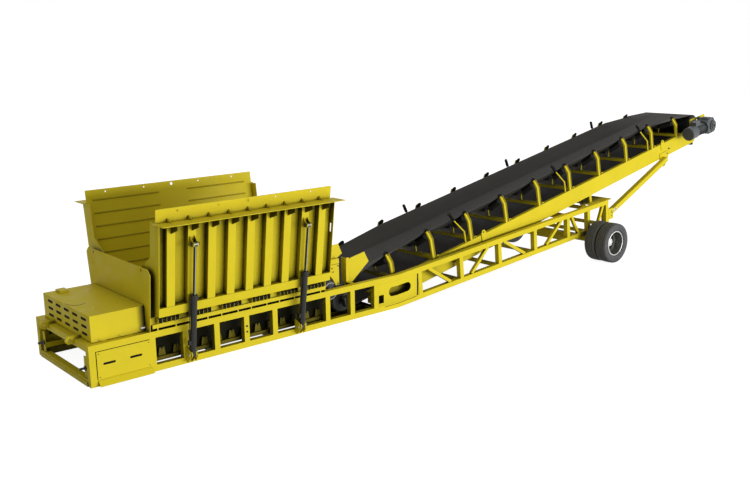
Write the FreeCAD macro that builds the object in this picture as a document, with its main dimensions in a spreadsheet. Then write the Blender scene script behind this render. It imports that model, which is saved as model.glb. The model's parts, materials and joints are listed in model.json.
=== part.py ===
import FreeCAD, Part
import os
import re
import Sketcher

# Mobile stacker conveyor with a truck hopper. Millimetres, +X from the feed end to the
# discharge head, +Z up, z = 0 on the ground, y = 0 on the centre plane.

SIZES = {
    # chassis
    "frame_half_width": 880,
    "frame_height": 560,
    "chord_size": 90,
    "flat_length": 5285,
    "post_width": 86,
    "post_first": 885,
    "kink_bay": 472,
    "post_count": 9,
    "rung_width": 60,
    "rung_foot": 10,
    "rung_top": 70,
    "bearer_first": 240,
    "bearer_pitch": 360,
    "sill_strip_depth": 12,
    "sill_strip_height": 60,
    "eye_offset": 58,
    "eye_height": 548,
    "eye_radius": 55,
    "eye_hole": 22,
    "eye_plate": 30,
    "eye_spread": 430,
    "eye_strap": 43,
    "web_plate": 8,
    "web_slot_half": 78,
    "web_slot_back": 195,
    "web_slot_end": 320,
    "web_hole_back": 415,
    "web_hole_width": 107,
    "web_hole_height": 138,
    "web_slot_level": 297,
    "web_hole_level": 212,
    "web_inset": 4,
    # rising truss
    "truss_angle": 5.4,
    "truss_length": 5864,
    "truss_post_first": 540,
    "truss_post_count": 5,
    "truss_end_bay": 658,
    "brace_size": 56,
    "chord_run_in": 120,
    "end_plate_start": 510,
    "end_plate_over": 120,
    "plan_brace_run": 250,
    "plan_brace_width": 140,
    # feed end cladding
    "sheet_thickness": 6,
    "panel_start": 100,
    "panel_end": 850,
    "panel_low": 92,
    "panel_high": 462,
    "panel_slot_length": 160,
    "panel_slot_first": 87,
    "panel_slot_last": 133,
    "panel_slot_level": 279,
    "panel_slot_height": 20,
    "step_depth": 60,
    "step_height": 75,
    "hood_start": 95,
    "hood_length": 755,
    "hood_half_width": 770,
    "hood_height": 352,
    "hood_slot_length": 155,
    "hood_slot_height": 26,
    "hood_slot_pitch": 277,
    "hood_row_pitch": 99,
    "hood_cap_height": 38,
    "hood_cap_start": 155,
    "hood_cap_end": 280,
    "hood_cap_low": 560,
    "hood_cap_high": 715,
    "power_pack_height": 290,
    # hopper
    "feed_plate_x": 857,
    "plate_thickness": 8,
    "feed_plate_rise": 865,
    "feed_plate_flare": 110,
    "feed_plate_corner": 70,
    "wing_start": 946,
    "wing_length": 2830,
    "wing_tilt": 7.6,
    "wing_inner": 26,
    "wing_foot": 45,
    "wing_rise": 1526,
    "rib_depth": 107,
    "rib_width": 120,
    "rib_first": 166,
    "rib_pitch": 306,
    "rib_count": 9,
    "rail_low": 75,
    "rail_high": 200,
    "ledge_level": 1333,
    "ledge_width": 300,
    "ledge_sheet": 10,
    "ledge_overhang": 50,
    "gusset_drop": 120,
    "gusset_reach": 166,
    "cheek_inner": 155,
    "cheek_knee": 840,
    "cheek_toe": 401,
    "cheek_toe_level": 631,
    "cheek_slot_out": -45,
    "cheek_slot_width": 30,
    "cheek_slot_low": 832,
    "cheek_slot_high": 968,
    "hinge_out": 905,
    "hinge_level": 705,
    "knuckle_radius": 30,
    "knuckle_length": 60,
    "knuckle_gap": 5,
    "hinge_pin_radius": 12,
    "running_gap": 0.05,
    "seat_gap": 0.3,
    "hinge_first": 164,
    "hinge_pitch": 490,
    "hinge_count": 6,
    "hinge_rail_gap": 34,
    "hinge_rail_height": 56,
    "hinge_rail_depth": 50,
    "spacer_width": 16,
    "spacer_spread": 135,
    "throat_top": 738,
    "throat_inset": 18,
    "throat_mouth": 600,
    "throat_foot": 655,
    # wing cylinders
    "cylinder_rib": 1,
    "cylinder_pin_radius": 18,
    "cylinder_foot_out": 980,
    "cylinder_foot_level": 150,
    "cylinder_eye_drop": 77,
    "cylinder_eye_level": 1051,
    "cylinder_length": 870,
    "cylinder_radius": 43,
    "cylinder_rod_radius": 20,
    "cylinder_grip": 70,
    "cylinder_neck": 72,
    "cylinder_bore_start": 190,
    "cylinder_eye_radius": 38,
    "ear_thickness": 12,
    "ear_gap": 28,
    "ear_clearance": 0.5,
    # belt feeder under the hopper
    "feeder_tail_x": 1110,
    "feeder_head_x": 3880,
    "feeder_level": 461,
    "feeder_drum_radius": 167,
    "feeder_belt_half": 590,
    "feeder_belt_thickness": 12,
    "feeder_roller_radius": 44,
    "bracket_first": 1098,
    "bracket_pitch": 222,
    "bracket_count": 13,
    "bracket_y": 700,
    "bracket_width": 116,
    "bracket_height": 115,
    "feeder_rail_height": 52,
    "feeder_rail_width": 80,
    "feeder_side_y": 640,
    "feeder_side_plate": 10,
    "feeder_side_foot": 90,
    "feeder_side_lead": 180,
    "feeder_side_tail": 110,
    "feeder_rim_gap": 8,
    "feeder_axle_radius": 11,
    "feeder_shaft_radius": 30,
    "rail_lift": 18,
    "take_up_foot": 20,
    "take_up_plate": 12,
    "take_up_width": 70,
    "take_up_top": 380,
    "take_up_screw": 14,
    "take_up_screw_level": 224,
    "take_up_screw_out": 70,
    "take_up_beam_low": 150,
    "take_up_beam_high": 225,
    # chute and skirts between the hopper and the main belt
    "chute_half": 620,
    "chute_gap": 22,
    "chute_foot": 662,
    "chute_top": 1170,
    "chute_crest_x": 4250,
    "chute_end_x": 4325,
    "chute_neck_x": 4190,
    "chute_mid_level": 960,
    "skirt_half": 656,
    "skirt_start_x": 4400,
    "skirt_low_level": 550,
    "skirt_start_top": 930,
    "skirt_end_x": 4752,
    "skirt_end_top": 999,
    "skirt_tip_x": 4844,
    "skirt_tip_level": 827,
    "skirt_post": 50,
    # main conveyor
    "belt_angle": 11.65,
    "belt_origin_x": 4330,
    "belt_origin_z": 220,
    "belt_length": 10460,
    "belt_thickness": 15,
    "belt_half": 600,
    "belt_flat_half": 250,
    "belt_edge_half": 545,
    "belt_edge_rise": 200,
    "belt_land": 75,
    "pulley_radius": 190,
    "pulley_rise": 65,
    "pulley_half": 615,
    "shaft_radius": 45,
    "stringer_start": 480,
    "stringer_out": 700,
    "stringer_depth": 313,
    "stringer_web": 8,
    "stringer_flange": 70,
    "stringer_sheet": 10,
    "stringer_cut": 220,
    "stringer_over": 100,
    "saddle_along": 6405,
    "saddle_length": 70,
    "saddle_width": 60,
    "hanger_width": 60,
    "hanger_half": 55,
    "hanger_drop": 20,
    "hanger_lift": 60,
    "guide_post_radius": 16,
    "guide_post_height": 203,
    "guide_arm_radius": 13,
    "guide_arm_lean": 168,
    "guide_out": 67,
    "guide_arm_top": 462,
    "guide_roller_radius": 27,
    "guide_tip_lean": 234,
    "guide_tip_out": 35,
    "guide_tip_top": 612,
    "lug_first": 3270,
    "lug_back": 1377,
    "lug_half": 60,
    "lug_top_half": 26,
    "lug_shoulder": 30,
    "lug_height": 85,
    "lug_foot": 117,
    "lug_plate": 14,
    "lug_bore": 16,
    "lug_bore_rise": 45,
    "station_first": 1062,
    "station_back": 776,
    "station_count": 10,
    "tip_half": 620,
    "tip_rise": 488,
    "idler_width": 80,
    "idler_knee": 360,
    "idler_angle_height": 55,
    "roller_radius": 60,
    "roller_short": 14,
    "return_roller_radius": 54,
    "gearbox_out": 880,
    "gearbox_width": 230,
    "motor_radius": 143,
    "motor_length": 600,
    "gearbox_back": 215,
    "gearbox_front": 110,
    "gearbox_top": 175,
    "gearbox_low": 150,
    "gearbox_corner": 40,
    "gear_flange_radius": 150,
    "gear_flange_depth": 25,
    "gear_boss_radius": 112,
    "gear_boss_out": 22,
    "gear_hub_radius": 62,
    "gear_hub_out": 40,
    "gear_hub_bore": 28,
    "motor_rise": 10,
    "motor_body_radius": 118,
    "cowl_length": 230,
    "terminal_half": 65,
    "terminal_start": 200,
    "terminal_length": 170,
    "terminal_top": 215,
    "guard_out": 60,
    "guard_plate": 10,
    # props, axle and wheels
    "prop_size": 100,
    "prop_plate": 12,
    "prop_plate_back": 1320,
    "prop_gap": 215,
    "prop_lug_length": 240,
    "prop_lug_low": 110,
    "prop_lug_high": 330,
    "prop_pin_radius": 16,
    "prop_foot_rise": 237,
    "prop_head_back": 1370,
    "prop_head_drop": 19,
    "axle_back": 653,
    "axle_beam_size": 110,
    "axle_beam_inset": 530,
    "axle_plate_half": 110,
    "axle_plate_height": 130,
    "tyre_radius": 391,
    "tyre_width": 250,
    "tyre_pitch": 258,
    "wheel_out": 1535,
    "rim_radius": 228,
    "rim_inset": 33,
    "rim_lip": 8.7,
    "rim_lip_height": 16,
    "rim_wall": 10,
    "bead_gap": 0.3,
    "disc_half": 12,
    "disc_radius": 130,
    "disc_dish": 60,
    "hub_reach": 92,
    "hub_back": 150,
    "hub_taper": 26,
    "spindle_radius": 40,
    "hub_radius": 78,
}

V = FreeCAD.Vector
doc = FreeCAD.newDocument("stacker")
sheet = doc.addObject("Spreadsheet::Sheet", "Sizes")
for row, (alias, value) in enumerate(SIZES.items(), start=1):
    sheet.set(f"A{row}", alias)
    sheet.set(f"B{row}", str(value))
    sheet.setAlias(f"B{row}", alias)
doc.recompute()

WORD = re.compile(r"\b[a-z]+(?:_[a-z]+)+\b")
PIECES = []
PLACES = {}
used_names = {}


def bound(text):
    """A size formula with each alias written as a cell of the sheet."""
    return WORD.sub(lambda word: "Sizes." + word.group(0), str(text))


def number(text):
    """The present value of a size formula."""
    value = sheet.evalExpression(bound(text))
    return float(getattr(value, "Value", value))


def new(kind, name):
    used_names[name] = used_names.get(name, 0) + 1
    return doc.addObject(kind, f"{name}_{used_names[name]}")


def place(thing, x=0, y=0, z=0, axis="0; 0; 1", angle="0"):
    """Bind a placement: where the thing stands and how far it turns about an axis."""
    PLACES[thing.Name] = (x, y, z, axis, angle)
    formula = f"placement(vector({x}; {y}; {z}); rotation(vector({axis}); {angle}))"
    thing.setExpression("Placement", bound(formula))
    return thing


def block(name, across_x, across_y, across_z):
    """A box from its low to its high value along each axis."""
    box = new("Part::Box", name)
    for size, (low, high) in zip(("Length", "Width", "Height"), (across_x, across_y, across_z)):
        box.setExpression(size, bound(f"({high}) - ({low})"))
    return place(box, across_x[0], across_y[0], across_z[0])


TURNS = {"X": ("0; 1; 0", "90"), "Y": ("1; 0; 0", "-90"), "Z": ("0; 0; 1", "0")}


def round_bar(name, radius, along, low, high, first, second):
    """A cylinder along one axis; first and second are its other two coordinates."""
    bar = new("Part::Cylinder", name)
    bar.setExpression("Radius", bound(radius))
    bar.setExpression("Height", bound(f"({high}) - ({low})"))
    at = {"X": (low, first, second), "Y": (first, low, second), "Z": (first, second, low)}[along]
    return place(bar, *at, *TURNS[along])


def leaning_bar(name, radius, x, foot, head):
    """A cylinder in a plane of constant x, from (y, z) at its foot to (y, z) at its head."""
    (y0, z0), (y1, z1) = foot, head
    bar = new("Part::Cylinder", name)
    bar.setExpression("Radius", bound(radius))
    bar.setExpression("Height", bound(f"sqrt((({y1}) - ({y0}))^2 + (({z1}) - ({z0}))^2)"))
    return place(bar, x, y0, z0, "-1; 0; 0", f"atan2(({y1}) - ({y0}); ({z1}) - ({z0}))")


def slanted_bar(name, radius, foot, head):
    """A cylinder from the point (x, y, z) at its foot to the one at its head, which is higher."""
    along, across, up = (f"(({b}) - ({a}))" for a, b in zip(foot, head))
    bar = new("Part::Cylinder", name)
    bar.setExpression("Radius", bound(radius))
    bar.setExpression("Height", bound(f"sqrt({along}^2 + {across}^2 + {up}^2)"))
    return place(bar, *foot, f"-{across}; {along}; 0", f"atan2(sqrt({along}^2 + {across}^2); {up})")


def strut(name, size, middle_y, foot, head):
    """A square bar in a plane of constant y, centred on the line from foot to head (x, z)."""
    (x0, z0), (x1, z1) = foot, head
    bar = new("Part::Box", name)
    bar.setExpression("Length", bound(f"sqrt((({x1}) - ({x0}))^2 + (({z1}) - ({z0}))^2)"))
    bar.setExpression("Width", bound(size))
    bar.setExpression("Height", bound(size))
    angle = f"atan2(({z1}) - ({z0}); ({x1}) - ({x0}))"
    x = f"({x0}) + ({size}) / 2 * sin({angle})"
    z = f"({z0}) - ({size}) / 2 * cos({angle})"
    return place(bar, x, f"({middle_y}) - ({size}) / 2", z, "0; -1; 0", angle)


def fuse(name, parts):
    whole = new("Part::MultiFuse", name)
    whole.Shapes = parts
    whole.Refine = True
    return place(whole)


def group(name, parts):
    """Separate solids that make one sub-part."""
    whole = new("Part::Compound", name)
    whole.Links = parts
    return place(whole)


def cut(name, base, tools):
    whole = new("Part::Cut", name)
    whole.Base = base
    whole.Tool = tools[0] if len(tools) == 1 else group(name + "_tools", tools)
    return place(whole)


def mirrored(name, source):
    """The same piece on the other side of the centre plane."""
    twin = new("Part::Mirroring", name)
    twin.Source = source
    twin.Base = V(0, 0, 0)
    twin.Normal = V(0, 1, 0)
    return twin


def both_sides(name, source):
    return group(name, [source, mirrored(name + "_twin", source)])


def repeat(source, count, step_x=0, step_y=0, step_z=0):
    """The source and its linked copies, one step apart."""
    x, y, z, axis, angle = PLACES[source.Name]
    copies = [source]
    for index in range(1, count):
        copy = new("App::Link", source.Name + "_copy")
        copy.LinkedObject = source
        place(copy, f"({x}) + {index} * ({step_x})", f"({y}) + {index} * ({step_y})",
              f"({z}) + {index} * ({step_z})", axis, angle)
        copies.append(copy)
    return copies


def origin_plane(body, role):
    return next(plane for plane in body.Origin.OriginFeatures if plane.Role == role)


def outline(body, name, role, points, circles=()):
    """A fully dimensioned closed outline, with round holes, on one of the body's own planes."""
    sketch = body.newObject("Sketcher::SketchObject", name)
    sketch.AttachmentSupport = (origin_plane(body, role), [""])
    sketch.MapMode = "FlatFace"
    corners = [V(number(a), number(b), 0) for a, b in points]
    count = len(corners)
    sketch.addGeometry([Part.LineSegment(corners[i], corners[(i + 1) % count]) for i in range(count)])
    rules = [Sketcher.Constraint("Coincident", i, 2, (i + 1) % count, 1) for i in range(count)]
    formulas = {}
    for i, (a, b) in enumerate(points):
        formulas[len(rules)] = a
        rules.append(Sketcher.Constraint("DistanceX", -1, 1, i, 1, corners[i].x))
        formulas[len(rules)] = b
        rules.append(Sketcher.Constraint("DistanceY", -1, 1, i, 1, corners[i].y))
    for i, (a, b, radius) in enumerate(circles, start=count):
        middle = V(number(a), number(b), 0)
        sketch.addGeometry(Part.Circle(middle, V(0, 0, 1), number(radius)))
        formulas[len(rules)] = a
        rules.append(Sketcher.Constraint("DistanceX", -1, 1, i, 3, middle.x))
        formulas[len(rules)] = b
        rules.append(Sketcher.Constraint("DistanceY", -1, 1, i, 3, middle.y))
        formulas[len(rules)] = radius
        rules.append(Sketcher.Constraint("Radius", i, number(radius)))
    sketch.addConstraint(rules)
    for index, formula in formulas.items():
        sketch.setExpression(f"Constraints[{index}]", bound(formula))
    return sketch


# The way a pad grows out of each plane, as a sign along the plane's own world axis.
GROWTH = {"XY_Plane": 1, "XZ_Plane": -1, "YZ_Plane": 1}


def profile(name, role, points, low, high, circles=()):
    """An outline padded from low to high along the axis square to its plane."""
    body = new("PartDesign::Body", name)
    sketch = outline(body, name + "_outline", role, points, circles)
    pad = body.newObject("PartDesign::Pad", name + "_pad")
    pad.Profile = sketch
    pad.setExpression("Length", bound(f"({high}) - ({low})"))
    start = low if GROWTH[role] > 0 else high
    at = {"XY_Plane": (0, 0, start), "XZ_Plane": (0, start, 0), "YZ_Plane": (start, 0, 0)}[role]
    place(body, *at)
    body.Tip = pad
    return body


def turned(name, points):
    """A ring or disc turned about the Y axis, from (radius, y) points."""
    body = new("PartDesign::Body", name)
    sketch = outline(body, name + "_outline", "XY_Plane", points)
    ring = body.newObject("PartDesign::Revolution", name + "_ring")
    ring.Profile = sketch
    ring.ReferenceAxis = (sketch, ["V_Axis"])
    ring.Angle = 360
    body.Tip = ring
    return place(body)


def turned_on(frame, x, y, z):
    """Where a point given in an inclined frame lies, with that frame's own turn."""
    angle = frame["angle"]
    return dict(x=f"{frame['x']} + ({x}) * cos({angle}) - ({z}) * sin({angle})", y=y,
                z=f"{frame['z']} + ({x}) * sin({angle}) + ({z}) * cos({angle})", axis=frame["axis"],
                angle=angle)


def piece(node, thing):
    """Name a finished sub-part."""
    thing.Label = node
    PIECES.append(thing)
    return thing


def count_of(alias):
    return int(round(number(alias)))


# Formulas that several sub-parts share.
POST_PITCH = "((flat_length - kink_bay - post_first) / (post_count - 1))"
LAST_POST = "(flat_length - kink_bay)"
TRUSS_PITCH = "((truss_length - 2 * truss_end_bay - truss_post_first) / (truss_post_count - 1))"
STATION_PITCH = "((belt_length - station_back - station_first) / (station_count - 1))"
INNER = "(frame_half_width - chord_size)"
TOP = "frame_height"
TRUSS_DEPTH = "(frame_height * cos(truss_angle))"
ON_TRUSS = dict(x="flat_length", y="0", z="0", axis="0; -1; 0", angle="truss_angle")
ON_BELT = dict(x="belt_origin_x", y="0", z="belt_origin_z", axis="0; -1; 0", angle="belt_angle")
WING_OUTER = "(wing_inner - plate_thickness)"
RIB_FACE = f"({WING_OUTER} - rib_depth)"
ON_WING = dict(x="0", y="-hinge_out", z="hinge_level", axis="1; 0; 0", angle="wing_tilt")
WING_END = "(wing_start + wing_length)"
AXLE_X = "(flat_length + (truss_length - axle_back) * cos(truss_angle))"


def chord_pair(name, low, high, depth):
    """The lower and upper chord of a near side frame."""
    across = ("-frame_half_width", f"-{INNER}")
    lower = block(name + "_lower", (low, high), across, ("0", "chord_size"))
    upper = block(name + "_upper", (low, high), across, (f"{depth} - chord_size", depth))
    return [lower, upper]


def slot_cutter(name, low, high, middle):
    """A level round-ended slot cutter through the near side."""
    through = ("-frame_half_width - 20", f"-{INNER} + 20")
    body = block(name + "_body", (low, high), through,
                 (f"{middle} - web_slot_half", f"{middle} + web_slot_half"))
    return body, through


def side_frame():
    parts = chord_pair("frame_chord", "0", "flat_length", "frame_height")
    across = ("-frame_half_width", f"-{INNER}")
    upright = ("chord_size", "frame_height - chord_size")
    parts.append(block("frame_end_post", ("0", "chord_size"), across, upright))
    post = block("frame_post", ("post_first - post_width / 2", "post_first + post_width / 2"), across,
                 upright)
    parts += repeat(post, count_of("post_count"), step_x=POST_PITCH)
    last_post = f"({LAST_POST} + post_width / 2)"
    skin = ("-frame_half_width + web_inset", "-frame_half_width + web_inset + web_plate")
    web = block("frame_web", (last_post, "flat_length"), skin, upright)
    middle = "web_slot_level"
    slot_start = "(flat_length - web_slot_back + web_slot_half)"
    long_slot, through = slot_cutter("frame_slot", slot_start, "flat_length + 10", middle)
    end = round_bar("frame_slot_end", "web_slot_half", "Y", *through, slot_start, middle)
    hole_start = "(flat_length - web_hole_back)"
    hole = block("frame_hole", (hole_start, f"{hole_start} + web_hole_width"), through,
                 ("web_hole_level - web_hole_height / 2", "web_hole_level + web_hole_height / 2"))
    parts.append(cut("frame_web_cut", web, [long_slot, end, hole]))
    return fuse("side_frame", parts)


def truss_posts():
    first = [f"(truss_post_first + {i} * {TRUSS_PITCH})" for i in range(count_of("truss_post_count"))]
    return first + ["(truss_length - truss_end_bay)", "(truss_length - chord_size / 2)"]


def truss_side():
    parts = chord_pair("truss_chord", "-chord_run_in", "truss_length", TRUSS_DEPTH)
    across = ("-frame_half_width", f"-{INNER}")
    upright = ("chord_size", f"{TRUSS_DEPTH} - chord_size")
    posts = truss_posts()
    for middle in posts:
        parts.append(block("truss_post", (f"{middle} - post_width / 2", f"{middle} + post_width / 2"),
                           across, upright))
    low = "chord_size"
    high = f"({TRUSS_DEPTH} - chord_size)"
    line = f"(-frame_half_width + chord_size / 2)"
    # Each brace: how far past its first post it starts, and how far short of the next it stops.
    runs = [(234, high, 264, low), (264, low, 285, high), (143, high, 293, low), (345, low, 178, high),
            (136, high, 317, low), (319, low, 107, high)]
    for bay, (ahead, from_level, back, to_level) in enumerate(runs):
        parts.append(strut("truss_brace", "brace_size", line, (f"{posts[bay]} + {ahead}", from_level),
                           (f"{posts[bay + 1]} - {back}", to_level)))
    skin = ("-frame_half_width + web_inset", "-frame_half_width + web_inset + web_plate")
    web = block("truss_web", ("-chord_run_in", f"{posts[0]} - post_width / 2"), skin, upright)
    middle = "web_slot_level"
    long_slot, through = slot_cutter("truss_slot", "-chord_run_in - 10", "web_slot_end - web_slot_half",
                                     middle)
    end = round_bar("truss_slot_end", "web_slot_half", "Y", *through, "web_slot_end - web_slot_half", middle)
    parts.append(cut("truss_web_cut", web, [long_slot, end]))
    trimmer = block("truss_trimmer", ("-400", "0"), ("-frame_half_width - 20", f"-{INNER} + 20"),
                    ("-100", "frame_height + 200"))
    place(trimmer, "-400 * cos(truss_angle) - 100 * sin(truss_angle)", "-frame_half_width - 20",
          "400 * sin(truss_angle) - 100 * cos(truss_angle)", "0; 1; 0", "truss_angle")
    return place(cut("truss_side", fuse("truss_whole", parts), [trimmer]), **ON_TRUSS)


def truss_end_plate():
    """The plate across the top of the truss's end bay, and the two flat braces that run into it."""
    start = "(truss_length - end_plate_start)"
    end = "(truss_length + end_plate_over)"
    level = (f"{TRUSS_DEPTH} - rung_foot", TRUSS_DEPTH)
    inner = "-frame_half_width + chord_size"
    outline_points = [(start, inner), ("truss_length", inner), ("truss_length", "-frame_half_width"),
                      (end, "-frame_half_width"), (end, "frame_half_width"),
                      ("truss_length", "frame_half_width"),
                      ("truss_length", INNER), (start, INNER)]
    plates = [profile("end_plate", "XY_Plane", outline_points, *level)]
    for side in ("-", ""):
        brace = [(f"{start} - plan_brace_run", f"{side}({INNER})"),
                 (f"{start} - plan_brace_run + plan_brace_width", f"{side}({INNER})"),
                 (start, f"{side}({INNER} - plan_brace_run + plan_brace_width)"),
                 (start, f"{side}({INNER} - plan_brace_run)")]
        plates.append(profile("plan_brace", "XY_Plane", brace, *level))
    return plates


def make_chassis():
    near = piece("side_frame_near", side_frame())
    piece("side_frame_far", mirrored("side_frame_twin", near))
    near = piece("truss_near", truss_side())
    piece("truss_far", mirrored("truss_twin", near))
    across = (f"-{INNER}", INNER)
    rung = block("rung", ("post_first - rung_width / 2", "post_first + rung_width / 2"), across,
                 ("rung_foot", "rung_top"))
    rungs = repeat(rung, 5, step_x=f"2 * {POST_PITCH}")
    bearer = block("bearer", ("bearer_first", "bearer_first + rung_width"), across,
                   ("frame_height - rung_width", "frame_height"))
    piece("cross_members", group("cross_members", rungs + repeat(bearer, 2, step_x="bearer_pitch")))
    truss_rungs = []
    for index, middle in enumerate(truss_posts()):
        span = (f"{middle} - rung_width / 2", f"{middle} + rung_width / 2")
        truss_rungs.append(block("truss_rung", span, across, ("rung_foot", "rung_top")))
        if index >= 4:
            truss_rungs.append(block("truss_top_rung", span, across,
                                     (f"{TRUSS_DEPTH} - rung_top", f"{TRUSS_DEPTH} - rung_foot")))
    truss_rungs += truss_end_plate()
    piece("truss_cross_members", place(group("truss_cross", truss_rungs), **ON_TRUSS))


def make_feed_end():
    across = (f"-{INNER}", INNER)
    sill = fuse("sill", [block("sill_beam", ("0", "chord_size"), across, ("0", "chord_size")),
                         block("sill_strip", ("-sill_strip_depth", "0"), across, ("0", "sill_strip_height"))])
    beam = block("beam", ("0", "chord_size"), across, ("frame_height - chord_size", "frame_height"))
    width = ("-eye_spread - eye_plate / 2", "-eye_spread + eye_plate / 2")
    ring = round_bar("eye_ring", "eye_radius", "Y", *width, "-eye_offset", "eye_height")
    foot = block("eye_foot", ("-eye_offset", "0"), width,
                 ("eye_height - eye_strap", "eye_height + eye_strap"))
    strap = block("eye_strap", ("-eye_offset", "chord_size - 15"), width,
                  ("frame_height", "frame_height + eye_strap"))
    hole = round_bar("eye_bore", "eye_hole", "Y", "-eye_spread - 60", "-eye_spread + 60", "-eye_offset",
                     "eye_height")
    lug = cut("eye_lug", fuse("eye_solid", [ring, foot, strap]), [hole])
    foot = ("take_up_foot", "take_up_foot + take_up_plate")
    bracket = block("take_up_bracket", foot,
                    ("-bracket_y - take_up_width / 2", "-bracket_y + take_up_width / 2"),
                    ("chord_size", "take_up_top"))
    hole = round_bar("take_up_hole", "take_up_screw + running_gap", "X", "0", "chord_size", "-bracket_y",
                     "take_up_screw_level")
    brackets = both_sides("take_up_brackets", cut("take_up_bored", bracket, [hole]))
    piece("feed_end_frame", group("feed_end", [sill, beam, brackets]))
    piece("towing_eyes", both_sides("towing_eyes", lug))


def make_cladding():
    skin = ("-frame_half_width - sheet_thickness", "-frame_half_width")
    sheet_block = block("panel", ("panel_start", "panel_end"), skin, ("panel_low", "panel_high"))
    through = ("-frame_half_width - 30", "-frame_half_width + 10")
    slots = []
    for start in ("panel_start + panel_slot_first", "panel_end - panel_slot_last - panel_slot_length"):
        slots.append(block("panel_slot", (start, f"{start} + panel_slot_length"), through,
                           ("panel_slot_level", "panel_slot_level + panel_slot_height")))
    panel = cut("panel_cut", sheet_block, slots)
    step = profile("step", "YZ_Plane", [
        ("-frame_half_width", "panel_low - 6"), ("-frame_half_width - step_depth", "panel_low - step_height"),
        ("-frame_half_width - step_depth", "panel_low - step_height - 12"),
        ("-frame_half_width - step_depth + 6", "panel_low - step_height - 12"),
        ("-frame_half_width - step_depth + 6", "panel_low - step_height"),
        ("-frame_half_width", "panel_low - 14")], "panel_start", "panel_end + 10")
    piece("side_panels", both_sides("side_panels", group("side_panel_near", [panel, step])))
    wall = "sheet_thickness"
    outer = block("hood_outer", ("hood_start", "hood_start + hood_length"),
                  ("-hood_half_width", "hood_half_width"),
                  (TOP, "frame_height + hood_height"))
    inner = block("hood_inner", (f"hood_start + {wall}", f"hood_start + hood_length - {wall}"),
                  (f"-hood_half_width + {wall}", f"hood_half_width - {wall}"),
                  ("frame_height - 10", f"frame_height + hood_height - {wall}"))
    cap = block("hood_cap", ("hood_start + hood_cap_start", "hood_start + hood_cap_end"),
                ("hood_cap_low", "hood_cap_high"),
                ("frame_height + hood_height", "frame_height + hood_height + hood_cap_height"))
    slots = []
    for column in range(-2, 3):
        for level in range(3):
            slots.append(block("hood_slot", ("hood_start - 10", "hood_start + 10 + sheet_thickness"),
                               (f"{column} * hood_slot_pitch - 28 - hood_slot_length / 2",
                                f"{column} * hood_slot_pitch - 28 + hood_slot_length / 2"),
                               (f"frame_height + 70 + {level} * hood_row_pitch",
                                f"frame_height + 70 + {level} * hood_row_pitch + hood_slot_height")))
    piece("hood", cut("hood", fuse("hood_solid", [outer, cap]), [inner] + slots))
    piece("power_pack",
          block("power_pack", ("hood_start + 80", "hood_start + hood_length - 90"), ("-520", "520"),
                              (TOP, "frame_height + power_pack_height")))


def make_hopper_ends():
    flare = "feed_plate_flare"
    top = "frame_height + feed_plate_rise"
    half = "frame_half_width"
    corner = "feed_plate_corner"
    plate = profile("feed_plate", "YZ_Plane", [
        (f"-{half}", TOP), (half, TOP), (f"{half} + {flare}", f"{top} - {corner}"),
        (f"{half} + {flare} - {corner}", top), (f"-{half} - {flare} + {corner}", top),
        (f"-{half} - {flare}", f"{top} - {corner}")],
        "feed_plate_x", "feed_plate_x + plate_thickness",
        circles=[("-740", f"{top} - 42", "22"), ("740", f"{top} - 42", "22")])
    head = f"({WING_END} + plate_thickness + 6)"
    gate = profile("head_plate", "YZ_Plane", [
        ("-862", TOP), ("-664", TOP), ("-664", "throat_top"), ("-620", "throat_top"), ("-620", "1150"),
        ("620", "1150"), ("620", "throat_top"), ("664", "throat_top"), ("664", TOP), ("862", TOP),
        ("960", "1400"), ("-960", "1400")],
        head, f"{head} + plate_thickness")
    piece("hopper_end_plates", group("hopper_ends", [plate, gate]))
    out = "(frame_half_width - throat_inset)"
    mouth = "throat_mouth"
    rail_top = "(frame_height + hinge_rail_gap + hinge_rail_height)"
    slope = profile("throat", "YZ_Plane", [
        (f"-{out}", rail_top), (f"-{out}", "throat_top"), (f"-{out} + 8", "throat_top"),
        (f"-{mouth}", "throat_foot + 8"), (f"-{mouth}", "throat_foot"), (f"-{out} + 8", "throat_top - 12"),
        (f"-{out} + 8", rail_top)],
        "feed_plate_x + plate_thickness", f"{head}")
    piece("hopper_throat", both_sides("throat", slope))


def hinge_places():
    return [f"(wing_start + hinge_first + {i} * hinge_pitch)" for i in range(count_of("hinge_count"))]


def hinge_rail():
    face = ("-frame_half_width", "-frame_half_width + hinge_rail_depth")
    foot = "(frame_height + hinge_rail_gap)"
    top = f"({foot} + hinge_rail_height)"
    parts = [block("hinge_rail", ("wing_start - 46", f"{WING_END} + 14"), face, (foot, top))]
    half = "(knuckle_length / 2)"
    for middle in hinge_places():
        for side in ("-", "+"):
            spacer = f"({middle} {side} spacer_spread)"
            parts.append(block("hinge_spacer",
                               (f"{spacer} - spacer_width / 2", f"{spacer} + spacer_width / 2"),
                               face, (TOP, foot)))
            centre = f"({middle} {side} (knuckle_length + knuckle_gap))"
            span = (f"{centre} - {half}", f"{centre} + {half}")
            parts.append(round_bar("fixed_knuckle", "knuckle_radius", "X", *span, "-hinge_out",
                                   "hinge_level"))
            parts.append(block("fixed_strap", span, ("-frame_half_width", "-frame_half_width + throat_inset"),
                               (top, "hinge_level")))
        parts.append(round_bar("hinge_pin", "hinge_pin_radius", "X", f"{middle} - 2 * knuckle_length + 20",
                               f"{middle} + 2 * knuckle_length - 20", "-hinge_out", "hinge_level"))
    return fuse("hinge_rail_whole", parts)


def cylinder_places():
    ribs = ("cylinder_rib", "(rib_count - 1 - cylinder_rib)")
    return [f"(wing_start + rib_first + {rib} * rib_pitch)" for rib in ribs]


def ear_pair(name, role_points, circles, middle):
    ears = []
    for low, high in ((f"{middle} - ear_gap - ear_thickness", f"{middle} - ear_gap"),
                      (f"{middle} + ear_gap", f"{middle} + ear_gap + ear_thickness")):
        ears.append(profile(name, "YZ_Plane", role_points, low, high, circles))
    return ears


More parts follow.
